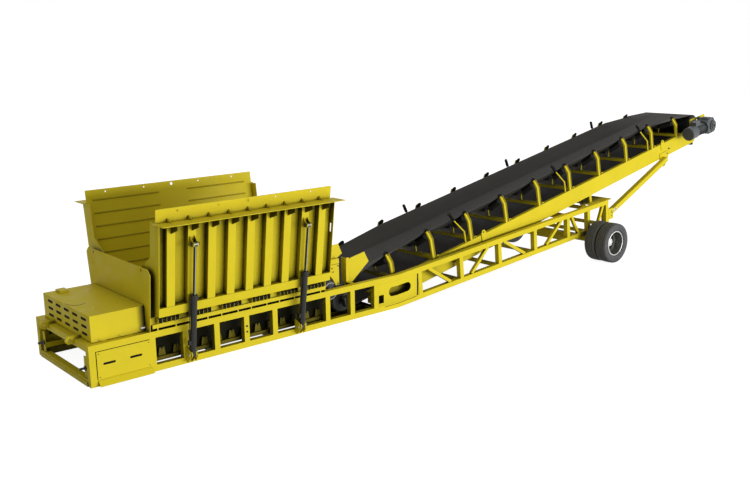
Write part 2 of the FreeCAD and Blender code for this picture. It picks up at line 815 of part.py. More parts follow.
def cylinder_feet():
    out = "cylinder_foot_out"
    level = "cylinder_foot_level"
    face = "frame_half_width"
    feet = []
    for middle in cylinder_places():
        ears = ear_pair("foot_ear", [
            (f"-{face}", "8"), (f"-{face}", f"{level} + 25"), (f"-{out} + 20", f"{level} + 50"),
            (f"-{out} - 30", f"{level} + 42"), (f"-{out} - 48", level), (f"-{out} - 30", f"{level} - 38")],
            (), middle)
        pin = round_bar("foot_pin", "cylinder_pin_radius", "X", f"{middle} - ear_gap - ear_thickness - 14",
                        f"{middle} + ear_gap + ear_thickness + 14", f"-{out}", level)
        feet.append(fuse("cylinder_foot", ears + [pin]))
    return group("cylinder_feet_near", feet)


def make_hinges():
    near = piece("hinge_rail_near", hinge_rail())
    piece("hinge_rail_far", mirrored("hinge_rail_twin", near))
    piece("cylinder_feet", both_sides("cylinder_feet", cylinder_feet()))


def ledge_line(y, lift=0):
    """Height of the level ledge at a place across the tilted wing."""
    return f"(ledge_level + ({WING_OUTER} - ({y})) * tan(wing_tilt) + {lift} / cos(wing_tilt))"


# The holes along a wing's top edge: the share of its length, and the radius.
WING_HOLES = ((0.11, "12"), (0.327, "12"), (0.49, "22"), (0.656, "12"), (0.872, "12"))


def wing_panel():
    panel = profile("wing_panel", "XZ_Plane", [
        ("wing_start", "wing_foot"), (WING_END, "wing_foot"), (WING_END, "wing_rise"),
        ("wing_start", "wing_rise")],
        WING_OUTER, "wing_inner",
        circles=[(f"wing_start + wing_length * {share}", "wing_rise - 45", radius)
                 for share, radius in WING_HOLES])
    return place(panel, "0", "-hinge_out + wing_inner * cos(wing_tilt)",
                 "hinge_level + wing_inner * sin(wing_tilt)",
                 "1; 0; 0", "wing_tilt")


def wing_rib(start):
    """One upright rib, cut to the level ledge above it."""
    return profile("wing_rib", "YZ_Plane", [
        (WING_OUTER, "rail_high"), (RIB_FACE, "rail_high"), (RIB_FACE, ledge_line(RIB_FACE)),
        (WING_OUTER, ledge_line(WING_OUTER))], start, f"{start} + rib_width")


def wing_ribs():
    first = "(wing_start + rib_first - rib_width / 2)"
    ribs = repeat(wing_rib(first), count_of("rib_count"), step_x="rib_pitch")
    out = f"({RIB_FACE} - cylinder_eye_drop)"
    level = "cylinder_eye_level"
    clevises = []
    for middle in cylinder_places():
        ears = ear_pair("rod_ear", [
            (RIB_FACE, f"{level} + 95"), (RIB_FACE, f"{level} - 35"), (f"{out} + 20", f"{level} - 42"),
            (f"{out} - 36", f"{level} - 22"), (f"{out} - 36", f"{level} + 20"),
            (f"{out} + 10", f"{level} + 40")],
            (), middle)
        for side, ear in zip((f"{middle} - ear_gap - ear_thickness - 12",
                              f"{middle} + ear_gap + ear_thickness"), ears):
            boss = round_bar("rod_pin_end", "cylinder_pin_radius", "X", side, f"{side} + 12", out, level)
            clevises += [ear, boss]
    return place(fuse("wing_ribs", ribs + clevises), **ON_WING)


def wing_ledge():
    out = f"({WING_OUTER} - ledge_width * cos(wing_tilt))"
    shelf = profile("ledge_shelf", "YZ_Plane", [
        (WING_OUTER, ledge_line(WING_OUTER)), (out, ledge_line(out)), (out, ledge_line(out, "ledge_sheet")),
        (WING_OUTER, ledge_line(WING_OUTER, "ledge_sheet"))],
        "wing_start - ledge_overhang", f"{WING_END} + ledge_overhang")
    tip = f"({RIB_FACE} - gusset_reach)"
    middle = "(wing_start + rib_first)"
    under = profile("under_gusset", "YZ_Plane", [
        (RIB_FACE, ledge_line(RIB_FACE) + " - gusset_drop - 14"), (tip, ledge_line(tip) + " - 68"),
        (tip, ledge_line(tip)), (RIB_FACE, ledge_line(RIB_FACE))], f"{middle} - 4", f"{middle} + 4")
    over = profile("over_gusset", "YZ_Plane", [
        (WING_OUTER, ledge_line(WING_OUTER, "ledge_sheet")),
        (f"{WING_OUTER} - 124", ledge_line(f"{WING_OUTER} - 124", "ledge_sheet")),
        (WING_OUTER, ledge_line(WING_OUTER, "ledge_sheet") + " + 58")], f"{middle} - 4", f"{middle} + 4")
    count = count_of("rib_count")
    parts = [shelf] + repeat(under, count, step_x="rib_pitch") + repeat(over, count, step_x="rib_pitch")
    return place(fuse("wing_ledge", parts), **ON_WING)


def wing_rail():
    beam = block("wing_beam", ("wing_start", WING_END), (RIB_FACE, WING_OUTER), ("rail_low", "rail_high"))
    parts = [beam]
    half = "(knuckle_length / 2)"
    for middle in hinge_places():
        span = (f"{middle} - {half}", f"{middle} + {half}")
        barrel = round_bar("wing_knuckle", "knuckle_radius", "X", *span, "0", "0")
        strap = block("wing_strap", span, ("-20", "0"), ("0", "rail_low"))
        bore = round_bar("wing_bore", "hinge_pin_radius + running_gap", "X", f"{middle} - 100",
                         f"{middle} + 100", "0", "0")
        parts.append(cut("wing_knuckle_bored", fuse("wing_knuckle_solid", [barrel, strap]), [bore]))
    return place(fuse("wing_rail", parts), **ON_WING)


def wing_cheeks():
    out = f"({RIB_FACE})"
    shape = [(out, "rail_low"), (out, ledge_line(out)), (WING_OUTER, ledge_line(WING_OUTER)),
             ("wing_inner", ledge_line(WING_OUTER)), ("cheek_inner", ledge_line(WING_OUTER)),
             ("cheek_inner", "cheek_knee"), ("cheek_toe", "cheek_toe_level"),
             ("cheek_toe", "cheek_toe_level - 70"),
             ("wing_inner + 40", "wing_foot + 20"), (WING_OUTER, "wing_foot + 20"), (WING_OUTER, "rail_low")]
    ends = (("wing_start - plate_thickness", "wing_start"), (WING_END, f"{WING_END} + plate_thickness"))
    cheeks = [profile("wing_cheek", "YZ_Plane", shape, low, high) for low, high in ends]
    slot = block("cheek_slot", (f"{WING_END} - 10", f"{WING_END} + plate_thickness + 10"),
                 ("cheek_slot_out", "cheek_slot_out + cheek_slot_width"),
                 ("cheek_slot_low", "cheek_slot_high"))
    cheeks[1] = cut("wing_cheek_slotted", cheeks[1], [slot])
    return place(group("wing_cheeks", cheeks), **ON_WING)


def make_wings():
    makers = (("wing_panel", wing_panel), ("wing_ribs", wing_ribs), ("wing_ledge", wing_ledge),
              ("wing_rail", wing_rail), ("wing_cheeks", wing_cheeks))
    for name, maker in makers:
        near = piece(name + "_near", maker())
        piece(name + "_far", mirrored(name + "_twin", near))


# The rod eye's place across and above the ground, with the wing upright.
EYE_IN = f"({RIB_FACE} - cylinder_eye_drop)"
EYE_Y = f"(-hinge_out + {EYE_IN} * cos(wing_tilt) - cylinder_eye_level * sin(wing_tilt))"
EYE_Z = f"(hinge_level + {EYE_IN} * sin(wing_tilt) + cylinder_eye_level * cos(wing_tilt))"
CYLINDER_LEAN = f"atan2(-cylinder_foot_out - {EYE_Y}; {EYE_Z} - cylinder_foot_level)"
CYLINDER_SPAN = f"sqrt((-cylinder_foot_out - {EYE_Y})^2 + ({EYE_Z} - cylinder_foot_level)^2)"


def cylinder_barrel(middle):
    tube = round_bar("barrel_tube", "cylinder_radius", "Z", "cylinder_neck", "cylinder_length", "0", "0")
    eye = round_bar("barrel_eye", "cylinder_eye_radius", "X", "-ear_gap + 1", "ear_gap - 1", "0", "0")
    neck = block("barrel_neck", ("-ear_gap + 1", "ear_gap - 1"),
                 ("-cylinder_eye_radius + 6", "cylinder_eye_radius - 6"),
                 ("0", "cylinder_neck + 6"))
    gland = round_bar("barrel_gland", "cylinder_radius + 5", "Z", "cylinder_length - 60", "cylinder_length",
                      "0", "0")
    port = block("barrel_port", ("-cylinder_radius - 30", "-cylinder_radius + 12"), ("-18", "18"),
                 ("150", "215"))
    bore = round_bar("barrel_bore", "cylinder_rod_radius + running_gap", "Z", "cylinder_bore_start",
                     "cylinder_length + 10", "0", "0")
    pin_hole = round_bar("barrel_pin_hole", "cylinder_pin_radius + running_gap", "X", "-60", "60", "0", "0")
    whole = cut("barrel", fuse("barrel_solid", [tube, eye, neck, gland, port]), [bore, pin_hole])
    return place(whole, middle, "-cylinder_foot_out", "cylinder_foot_level", "1; 0; 0", CYLINDER_LEAN)


def cylinder_rod(middle):
    shaft = round_bar("rod_shaft", "cylinder_rod_radius", "Z", "cylinder_length - cylinder_grip",
                      f"{CYLINDER_SPAN} - cylinder_eye_radius + 6", "0", "0")
    eye = round_bar("rod_eye", "cylinder_eye_radius", "X", "-ear_gap + ear_clearance",
                    "ear_gap - ear_clearance",
                    "0", CYLINDER_SPAN)
    return place(fuse("rod", [shaft, eye]), middle, "-cylinder_foot_out", "cylinder_foot_level",
                 "1; 0; 0", CYLINDER_LEAN)


def make_cylinders():
    for end, middle in zip(("feed", "head"), cylinder_places()):
        barrel = piece(f"barrel_near_{end}", cylinder_barrel(middle))
        piece(f"barrel_far_{end}", mirrored("barrel_twin", barrel))
        rod = piece(f"rod_near_{end}", cylinder_rod(middle))
        piece(f"rod_far_{end}", mirrored("rod_twin", rod))


def belt_loop(name, half, radius, thickness, length):
    """A flat endless belt round two drums at s = 0 and s = length, centred on z = 0."""
    outer = f"({radius} + {thickness})"
    across = (f"-{half}", half)
    hull = fuse(name + "_hull", [block(name + "_slab", ("0", length), across, (f"-{outer}", outer)),
                                 round_bar(name + "_nose", outer, "Y", *across, "0", "0"),
                                 round_bar(name + "_head", outer, "Y", *across, length, "0")])
    wide = (f"-{half} - 10", f"{half} + 10")
    core = fuse(name + "_core", [block(name + "_void", ("0", length), wide, (f"-{radius}", radius)),
                                 round_bar(name + "_void_nose", radius, "Y", *wide, "0", "0"),
                                 round_bar(name + "_void_head", radius, "Y", *wide, length, "0")])
    return cut(name, hull, [core])


def make_feeder():
    length = "(feeder_head_x - feeder_tail_x)"
    at_tail = dict(x="feeder_tail_x", z="feeder_level")
    loop = belt_loop("feeder_belt", "feeder_belt_half", "(feeder_drum_radius + seat_gap)",
                     "feeder_belt_thickness", length)
    piece("feeder_belt", place(loop, **at_tail))
    drums = []
    for x in ("feeder_tail_x", "feeder_head_x"):
        face = round_bar("feeder_drum", "feeder_drum_radius", "Y", "-feeder_belt_half - 15",
                         "feeder_belt_half + 15", x, "feeder_level")
        shaft = round_bar("feeder_shaft", "feeder_shaft_radius", "Y", "-feeder_side_y - 90",
                          "feeder_side_y + 90", x, "feeder_level")
        drums.append(fuse("feeder_drum_whole", [face, shaft]))
    piece("feeder_drums", group("feeder_drums", drums))
    roller_level = ("(feeder_level - feeder_drum_radius - feeder_belt_thickness"
                    " - feeder_roller_radius - 2 * seat_gap)")
    count = count_of("bracket_count")
    roller = fuse("return_roller", [
        round_bar("return_tube", "feeder_roller_radius", "Y", "-feeder_belt_half - 20",
                  "feeder_belt_half + 20",
                  "bracket_first", roller_level),
        round_bar("return_axle", "feeder_axle_radius", "Y", "-bracket_y + 5.3", "bracket_y - 5.3",
                  "bracket_first", roller_level)])
    carry_level = "(feeder_level + feeder_drum_radius - feeder_roller_radius)"
    carry = fuse("carry_roller", [
        round_bar("carry_tube", "feeder_roller_radius", "Y", "-feeder_belt_half - 20",
                  "feeder_belt_half + 20",
                  "bracket_first + 2 * bracket_pitch", carry_level),
        round_bar("carry_axle", "feeder_axle_radius", "Y", "-feeder_side_y", "feeder_side_y",
                  "bracket_first + 2 * bracket_pitch", carry_level)])
    rollers = repeat(roller, count, step_x="bracket_pitch") + repeat(carry, (count - 3) // 2,
                                                                     step_x="2 * bracket_pitch")
    piece("feeder_rollers", group("feeder_rollers", rollers))
    foot = "(rung_top + rail_lift + feeder_rail_height)"
    half = "(bracket_width / 2)"
    top = f"({foot} + bracket_height)"
    shape = [(f"-{half}", foot), (half, foot), (f"{half} * 0.62", top), (f"{half} * 0.28", top),
             ("12", f"{roller_level} + 4"), ("12", f"{roller_level} - 12"), ("-12", f"{roller_level} - 12"),
             ("-12", f"{roller_level} + 4"), (f"-{half} * 0.28", top), (f"-{half} * 0.62", top)]
    saddle = profile("roller_saddle", "XZ_Plane", [(f"bracket_first + ({a})", b) for a, b in shape],
                     "-bracket_y - 5", "-bracket_y + 5")
    rail = block("feeder_rail",
                 ("post_first - rung_width / 2", f"post_first + 6 * {POST_PITCH} + rung_width / 2"),
                 ("-bracket_y - feeder_rail_width / 2", "-bracket_y + feeder_rail_width / 2"),
                 ("rung_top + rail_lift", foot))
    pad = block("rail_pad", ("post_first - rung_width / 2", "post_first + rung_width / 2"),
                ("-bracket_y - feeder_rail_width / 2", "-bracket_y + feeder_rail_width / 2"),
                ("rung_top", "rung_top + rail_lift"))
    pads = repeat(pad, 4, step_x=f"2 * {POST_PITCH}")
    near = fuse("feeder_rail_near", [rail] + pads + repeat(saddle, count, step_x="bracket_pitch"))
    piece("feeder_rails", both_sides("feeder_rails", near))
    plate = ("-feeder_side_y - feeder_side_plate", "-feeder_side_y")
    start = "(feeder_tail_x - feeder_side_lead)"
    side = block("feeder_side", (start, "feeder_head_x + feeder_side_tail"), plate,
                 ("feeder_side_foot", "feeder_level + feeder_drum_radius - feeder_rim_gap"))
    hanger = block("feeder_hanger", (f"post_first + {POST_PITCH} - rung_width / 2",
                                     f"post_first + {POST_PITCH} + rung_width / 2"),
                   (f"-{INNER}", "-feeder_side_y - feeder_side_plate"),
                   ("frame_height - chord_size", "frame_height - chord_size + rung_width"))
    hangers = repeat(hanger, 3, step_x=f"2 * {POST_PITCH}")
    beam = block("take_up_beam", ("take_up_foot + take_up_plate", f"{start} + rung_width"),
                 ("-bracket_y", "-feeder_side_y - feeder_side_plate"),
                 ("take_up_beam_low", "take_up_beam_high"))
    screw = round_bar("take_up_screw", "take_up_screw", "X", "-take_up_screw_out",
                      "take_up_foot + take_up_plate + 8",
                      "-bracket_y", "take_up_screw_level")
    nut = round_bar("take_up_nut", "2 * take_up_screw", "X", "take_up_foot - 16", "take_up_foot",
                    "-bracket_y",
                    "take_up_screw_level")
    wide = ("-feeder_side_y - 40", "-feeder_side_y + 40")
    holes = [round_bar("feeder_side_hole", "feeder_shaft_radius + running_gap", "Y", *wide, x, "feeder_level")
             for x in ("feeder_tail_x", "feeder_head_x")]
    axle_hole = round_bar("feeder_axle_hole", "feeder_axle_radius + running_gap", "Y", *wide, "bracket_first",
                          roller_level)
    holes += repeat(axle_hole, count, step_x="bracket_pitch")
    sides = cut("feeder_side_near", fuse("feeder_side_whole", [side, beam, screw, nut] + hangers), holes)
    piece("feeder_side_frames", both_sides("feeder_side_frames", sides))


def stations():
    return [f"(station_first + {i} * {STATION_PITCH})" for i in range(count_of("station_count"))]


def edge_rise(index):
    """How far the belt's edge stands above its middle: less at the first and last station."""
    last = count_of("station_count") - 1
    share = {0: 0.7, last: 0.52}.get(index, 1)
    return f"(belt_edge_rise * {share})"


CARRY = "(pulley_rise + pulley_radius + seat_gap)"


def edge_out(index):
    """How far out the belt's edge lies, which is less where the belt is more troughed."""
    return f"(belt_half - (belt_half - belt_edge_half) * ({edge_rise(index)} / belt_edge_rise)^2)"


def belt_section(body, index, at, rise, edge, flat):
    """Closed outline of the carrying strand at one place along the belt."""
    name = f"belt_section_{index}"
    low = CARRY
    high = f"({CARRY} + belt_thickness)"
    points = [(f"-{flat}", low), (flat, low), (edge, f"{low} + {rise}"), (edge, f"{high} + {rise}"),
              (flat, high), (f"-{flat}", high), (f"-{edge}", f"{high} + {rise}"),
              (f"-{edge}", f"{low} + {rise}")]
    sketch = outline(body, name, "YZ_Plane", points)
    sketch.setExpression("AttachmentOffset.Base.z", bound(at))
    return sketch


def carrying_strand():
    body = new("PartDesign::Body", "carrying_strand")
    places = [("0", "0", "belt_half", "belt_flat_half")]
    for index, at in enumerate(stations()):
        for side in ("-", "+"):
            places.append((f"{at} {side} belt_land", edge_rise(index), edge_out(index), "belt_flat_half"))
    places.append(("belt_length", "0", "belt_half", "belt_flat_half"))
    sketches = [belt_section(body, i, *spot) for i, spot in enumerate(places)]
    strand = body.newObject("PartDesign::AdditiveLoft", "belt_loft")
    strand.Profile = sketches[0]
    strand.Sections = sketches[1:]
    strand.Ruled = True
    body.Tip = strand
    return place(body)


def main_belt():
    across = ("-belt_half", "belt_half")
    inner = "(pulley_radius + seat_gap)"
    outer = f"({inner} + belt_thickness)"
    ends = []
    for name, x, span in (("tail", "0", ("-400", "0")),
                          ("head", "belt_length", ("belt_length", "belt_length + 400"))):
        rim = cut(f"belt_{name}_ring", round_bar("belt_wrap", outer, "Y", *across, x, "pulley_rise"),
                  [round_bar("belt_wrap_void", inner, "Y", "-belt_half - 10", "belt_half + 10", x,
                             "pulley_rise")])
        keep = block("belt_half_space", span, ("-belt_half - 20", "belt_half + 20"), ("-400", "600"))
        half_ring = new("Part::Common", f"belt_{name}_half")
        half_ring.Base = rim
        half_ring.Tool = keep
        ends.append(place(half_ring))
    back = block("belt_return", ("0", "belt_length"), across,
                 (f"pulley_rise - {outer}", f"pulley_rise - {inner}"))
    return place(fuse("main_belt", [carrying_strand(), back] + ends), **ON_BELT)


def stringer():
    end = "(belt_length + stringer_over)"
    out = "stringer_out"
    web = profile("stringer_web", "XZ_Plane", [
        ("stringer_start", "-stringer_depth"), (f"{end} - stringer_cut", "-stringer_depth"),
        (end, "-stringer_depth * 0.45"),
        (end, "0"), ("stringer_start", "0")], f"-{out}", f"-{out} + stringer_web")
    across = (f"-{out} + stringer_web", f"-{out} + stringer_flange")
    top = block("stringer_top", ("stringer_start", end), across, ("-stringer_sheet", "0"))
    low = block("stringer_foot", ("stringer_start", f"{end} - stringer_cut"), across,
                ("-stringer_depth", "-stringer_depth + stringer_sheet"))
    lugs = []
    for along in ("lug_first", "(belt_length - lug_back)"):
        plate = profile("lifting_lug", "XZ_Plane", [
            (f"{along} - lug_half", "-lug_foot"), (f"{along} + lug_half", "-lug_foot"),
            (f"{along} + lug_half", "lug_shoulder"), (f"{along} + lug_top_half", "lug_height"),
            (f"{along} - lug_top_half", "lug_height"), (f"{along} - lug_half", "lug_shoulder")],
            f"-{out} - lug_plate", f"-{out}",
            circles=[(along, "lug_bore_rise", "lug_bore")])
        lugs.append(plate)
    return place(fuse("stringer", [web, top, low] + lugs), **ON_BELT)


def idler_frame(index, at):
    """Cross angle, side brackets and the two inner roller brackets of one station."""
    drop = f"(belt_edge_rise - {edge_rise(index)})"
    half = "(idler_width / 2)"
    span = (f"{at} - {half}", f"{at} + {half}")
    knee = f"(idler_knee - {drop})"
    tip = f"(tip_rise - {drop})"
    side = [("-stringer_out + 2", "0"), ("-stringer_out + 2", knee), ("-tip_half - 6", f"{tip} + 12"),
            ("-tip_half + 16", f"{tip} - 6"),
            ("-stringer_out + 40", f"{knee} - 14"), ("-stringer_out + 40", "0")]
    near = profile("idler_side", "YZ_Plane", side, *span)
    far = profile("idler_side", "YZ_Plane", [(f"-({a})", b) for a, b in side], *span)
    angle = block("idler_angle", span, ("-stringer_out + 40", "stringer_out - 40"),
                  ("0", "idler_angle_height"))
    posts = [block("idler_post", (f"{at} - 8", f"{at} + 8"), (f"{y} - 12", f"{y} + 12"),
                   ("idler_angle_height", f"{CARRY} - 2 * roller_radius + 70"))
             for y in ("-belt_flat_half + 6", "belt_flat_half - 6")]
    return fuse("idler_frame", [near, far, angle] + posts)


def idler_rollers(index, at):
    """Middle roller and two leaning wing rollers, just under the belt."""
    level = f"({CARRY} - roller_radius - seat_gap)"
    middle = round_bar("middle_roller", "roller_radius", "Y", "-belt_flat_half + 24", "belt_flat_half - 24",
                       at, level)
    rise = edge_rise(index)
    slope = f"atan2({rise}; {edge_out(index)} - belt_flat_half)"
    sides = []
    for sign in ("-", ""):
        ends = []
        for reach in ("26", f"({edge_out(index)} - roller_short - belt_flat_half)"):
            away = f"({sign}(belt_flat_half + {reach} + (roller_radius + seat_gap) * sin({slope})))"
            up = f"({CARRY} + {reach} * tan({slope}) - (roller_radius + seat_gap) * cos({slope}))"
            ends.append((away, up))
        sides.append(leaning_bar("wing_roller", "roller_radius", at, *ends))
    return [middle] + sides


def make_conveyor():
    near = piece("stringer_near", stringer())
    piece("stringer_far", mirrored("stringer_twin", near))
    frames = [idler_frame(i, at) for i, at in enumerate(stations())]
    piece("idler_frames", place(group("idler_frames", frames), **ON_BELT))
    rollers = []
    for index, at in enumerate(stations()):
        rollers += idler_rollers(index, at)
    back = "(pulley_rise - pulley_radius - belt_thickness - return_roller_radius - 2 * seat_gap)"
    for i in range(1, count_of("station_count"), 2):
        at = stations()[i]
        tube = round_bar("return_idler", "return_roller_radius", "Y", "-belt_half - 15", "belt_half + 15",
                         f"{at} - 200", back)
        axle = round_bar("return_spindle", "12", "Y", "-stringer_out + stringer_web",
                         "stringer_out - stringer_web",
                         f"{at} - 200", back)
        rollers.append(fuse("return_idler_whole", [tube, axle]))
    piece("conveyor_rollers", place(group("conveyor_rollers", rollers), **ON_BELT))
    guides = []
    for i in (2, 5, 8):
        at = f"({stations()[i]} - 140)"
        foot = "-stringer_out + 38"
        elbow = (at, foot, "guide_post_height")
        shoulder = (f"{at} - guide_arm_lean", "-belt_edge_half - guide_out", "guide_arm_top")
        tip = (f"{at} - guide_tip_lean", "-belt_edge_half - guide_tip_out", "guide_tip_top")
        post = round_bar("guide_post", "guide_post_radius", "Z", "0", "guide_post_height + 11", at, foot)
        arm = slanted_bar("guide_arm", "guide_arm_radius", elbow, shoulder)
        roller = slanted_bar("guide_roller", "guide_roller_radius", shoulder, tip)
        guides.append(fuse("guide", [post, arm, roller]))
    piece("guide_rollers", both_sides("guide_rollers", place(group("guides", guides), **ON_BELT)))
    piece("main_belt", main_belt())
    pulleys = {}
    for name, at, low, high in (("tail", "0", "-stringer_out - 60", "stringer_out + 60"),
                                ("head", "belt_length", "-gearbox_out - gearbox_width + 20",
                                 "stringer_out + 20")):
        drum = round_bar(f"{name}_drum", "pulley_radius", "Y", "-pulley_half", "pulley_half", at,
                         "pulley_rise")
        shaft = round_bar(f"{name}_shaft", "shaft_radius", "Y", low, high, at, "pulley_rise")
        pulleys[name] = fuse(f"{name}_pulley", [drum, shaft])
        piece(f"{name}_pulley", place(pulleys[name], **ON_BELT))
    bore = "shaft_radius + running_gap"
    head_block = cut("head_bearing", fuse("head_bearing_solid", [
        block("head_foot", ("belt_length - 95", "belt_length + 95"),
              ("-stringer_out + 2", "-pulley_half - 14"), ("0", "40")),
        round_bar("head_housing", "80", "Y", "-stringer_out + 2", "-pulley_half - 14", "belt_length",
                  "pulley_rise")]),
        [round_bar("head_bearing_bore", bore, "Y", "-stringer_out - 40", "-stringer_out + 200", "belt_length",
                   "pulley_rise"),
         block("head_bearing_trim", ("belt_length - 200", "belt_length + 200"),
               ("-stringer_out - 40", "-stringer_out + 200"), ("-200", "0"))])
    tail_block = cut("tail_bearing",
                     block("tail_housing", ("-75", "75"), (f"-{INNER}", "-stringer_out"),
                           ("pulley_rise - 75", "pulley_rise + 75")),
                     [round_bar("tail_bearing_bore", bore, "Y", f"-{INNER} - 40", "-stringer_out + 80", "0",
                                "pulley_rise")])
    near_blocks = place(group("bearings_near", [head_block, tail_block]), **ON_BELT)
    piece("pulley_bearings", both_sides("pulley_bearings", near_blocks))


def make_head():
    outer = "(-gearbox_out - gearbox_width)"
    middle = "(-gearbox_out - gearbox_width / 2)"
    axis = ("belt_length", "pulley_rise")
    corner = "gearbox_corner"
    case = profile("gear_case", "XZ_Plane", [(f"belt_length + ({a})", f"pulley_rise + ({b})") for a, b in (
        ("-gearbox_back", f"-gearbox_low + {corner}"), (f"-gearbox_back + {corner}", "-gearbox_low"),
        (f"gearbox_front - 1.2 * {corner}", "-gearbox_low"), ("gearbox_front", f"-gearbox_low + {corner}"),
        ("gearbox_front", f"gearbox_top - 2.6 * {corner}"),
        (f"gearbox_front - 1.7 * {corner}", "gearbox_top"),
        (f"-gearbox_back + 1.9 * {corner}", "gearbox_top"), ("-gearbox_back", f"gearbox_top - {corner}"))],
        outer, "-gearbox_out")
    cover = block("gear_cover", ("belt_length - gearbox_back + 70", "belt_length - gearbox_back + 180"),
                  (f"{outer} + 30", "-gearbox_out - 30"),
                  ("pulley_rise + gearbox_top", "pulley_rise + gearbox_top + 26"))
    boss = round_bar("gear_boss", "gear_boss_radius", "Y", f"{outer} - gear_boss_out", "-gearbox_out + 20",
                     *axis)
    hub = round_bar("gear_hub", "gear_hub_radius", "Y", f"{outer} - gear_hub_out", f"{outer}", *axis)
    on_motor = (middle, "pulley_rise + motor_rise")
    back = "(belt_length - gearbox_back)"
    flange = round_bar("motor_flange", "gear_flange_radius", "X", f"{back} - gear_flange_depth", back,
                       *on_motor)
    motor = round_bar("motor_body", "motor_body_radius", "X", f"{back} - motor_length + cowl_length", back,
                      *on_motor)
    cowl = round_bar("motor_cowl", "motor_radius", "X", f"{back} - motor_length",
                     f"{back} - motor_length + cowl_length", *on_motor)
    box_end = f"({back} - terminal_start)"
    terminal = block("terminal_box", (f"{box_end} - terminal_length", box_end),
                     (f"{middle} - terminal_half", f"{middle} + terminal_half"),
                     ("pulley_rise + motor_rise + motor_body_radius - 40", "pulley_rise + terminal_top"))
    bore = round_bar("gear_bore", "shaft_radius + running_gap", "Y", f"{outer} + 18", "-gearbox_out + 60",
                     *axis)
    hub_bore = round_bar("gear_hub_bore", "gear_hub_bore", "Y", f"{outer} - gear_hub_out - 10",
                         f"{outer} - 5", *axis)
    solid = fuse("gearmotor_solid", [case, cover, boss, hub, flange, motor, cowl, terminal])
    piece("gearmotor", place(cut("gearmotor", solid, [bore, hub_bore]), **ON_BELT))
    guard_face = ("-stringer_out - guard_out - guard_plate", "-stringer_out - guard_out")
    plate = profile("guard_plate", "XZ_Plane", [(f"belt_length + ({a})", b) for a, b in (
        ("-355", "-60"), ("-325", "-60"), ("-325", "226"), ("93", "199"), ("263", "177"), ("268", "242"),
        ("12", "249"), ("-323", "266"), ("-355", "240"))], *guard_face)
    foot = block("guard_foot", ("belt_length - 355", "belt_length - 325"),
                 ("-stringer_out - guard_out", "-stringer_out"),
                 ("-60", "-10"))
    piece("head_guard", place(fuse("head_guard", [plate, foot]), **ON_BELT))
    blade = block("scraper_blade", ("belt_length - 176", "belt_length - 164"),
                  ("-belt_half + 20", "belt_half - 20"),
                  ("-stringer_depth - 10", "pulley_rise - pulley_radius - belt_thickness - 5"))
    carrier = block("scraper_carrier", ("belt_length - 200", "belt_length - 150"),
                    ("-stringer_out", "stringer_out"),
                    ("-stringer_depth - 50", "-stringer_depth"))
    piece("belt_scraper", place(fuse("scraper", [blade, carrier]), **ON_BELT))


def make_chute():
    near = ("-chute_half - plate_thickness", "-chute_half")
    start = f"({WING_END} + chute_gap)"
    side = profile("chute_side", "XZ_Plane", [
        (start, "chute_foot"), (start, "chute_top"), ("chute_crest_x", "chute_top + 30"),
        ("chute_end_x", "chute_mid_level + 75"), ("chute_neck_x", "chute_mid_level"),
        ("chute_neck_x", "chute_foot + 38"), ("chute_neck_x - 130", "chute_foot")], *near)
    face = ("-skirt_half - plate_thickness", "-skirt_half")
    skirt = profile("chute_skirt", "XZ_Plane", [
        ("skirt_start_x", "skirt_low_level"), ("skirt_start_x", "skirt_start_top"),
        ("skirt_end_x", "skirt_end_top"),
        ("skirt_tip_x", "skirt_tip_level"), ("skirt_start_x + 55", "skirt_low_level - 36")], *face)
    width = ("-skirt_half - plate_thickness", "-skirt_half + 20")
    foot_level = "(frame_height - chord_size)"
    post = block("chute_post", ("skirt_start_x - skirt_post", "skirt_start_x"), width,
                 (foot_level, "skirt_start_top + 20"))
    foot = block("chute_foot", ("skirt_start_x - skirt_post - 20", "skirt_start_x + 20"),
                 (f"-{INNER}", "-skirt_half + 20"), (foot_level, f"{foot_level} + 30"))
    loader = fuse("chute_loader", [skirt, post, foot])
    piece("chute_sides", both_sides("chute_sides", group("chute_near", [side, loader])))


def make_supports():
    legs = []
    trim = block("saddle_trim", ("truss_length - truss_end_bay", "truss_length + end_plate_over"),
                 ("-frame_half_width", "frame_half_width"), ("0", TRUSS_DEPTH))
    place(trim, **turned_on(ON_TRUSS, "truss_length - truss_end_bay", "-frame_half_width", "0"))
    for y in ("-stringer_out", "stringer_out - saddle_width"):
        leg = block("saddle_leg", ("saddle_along", "saddle_along + saddle_length"),
                    (y, f"{y} + saddle_width"),
                    ("-stringer_depth - 300", "-stringer_depth"))
        legs.append(place(leg, **turned_on(ON_BELT, "saddle_along", y, "-stringer_depth - 300")))
    saddle = group("saddle_legs", [cut("saddle_leg_trimmed", leg, [trim]) for leg in legs])
    blocks = []
    for middle in (LAST_POST,
                   *(f"(flat_length + (truss_post_first + {i} * {TRUSS_PITCH}) * cos(truss_angle) - 30)"
                                for i in range(2))):
        level = (f"(belt_origin_z + ({middle} - belt_origin_x) * tan(belt_angle) - stringer_depth / 2"
                 " - hanger_drop)")
        if middle == LAST_POST:
            level = "(chord_size + hanger_lift + hanger_half)"
        blocks.append(block("front_hanger", (f"{middle} - hanger_width / 2", f"{middle} + hanger_width / 2"),
                            (f"-{INNER}", "-stringer_out"),
                            (f"{level} - hanger_half", f"{level} + hanger_half")))
    hangers = both_sides("conveyor_hangers", group("hangers_near", blocks))
    piece("conveyor_supports", group("conveyor_supports", [saddle, hangers]))


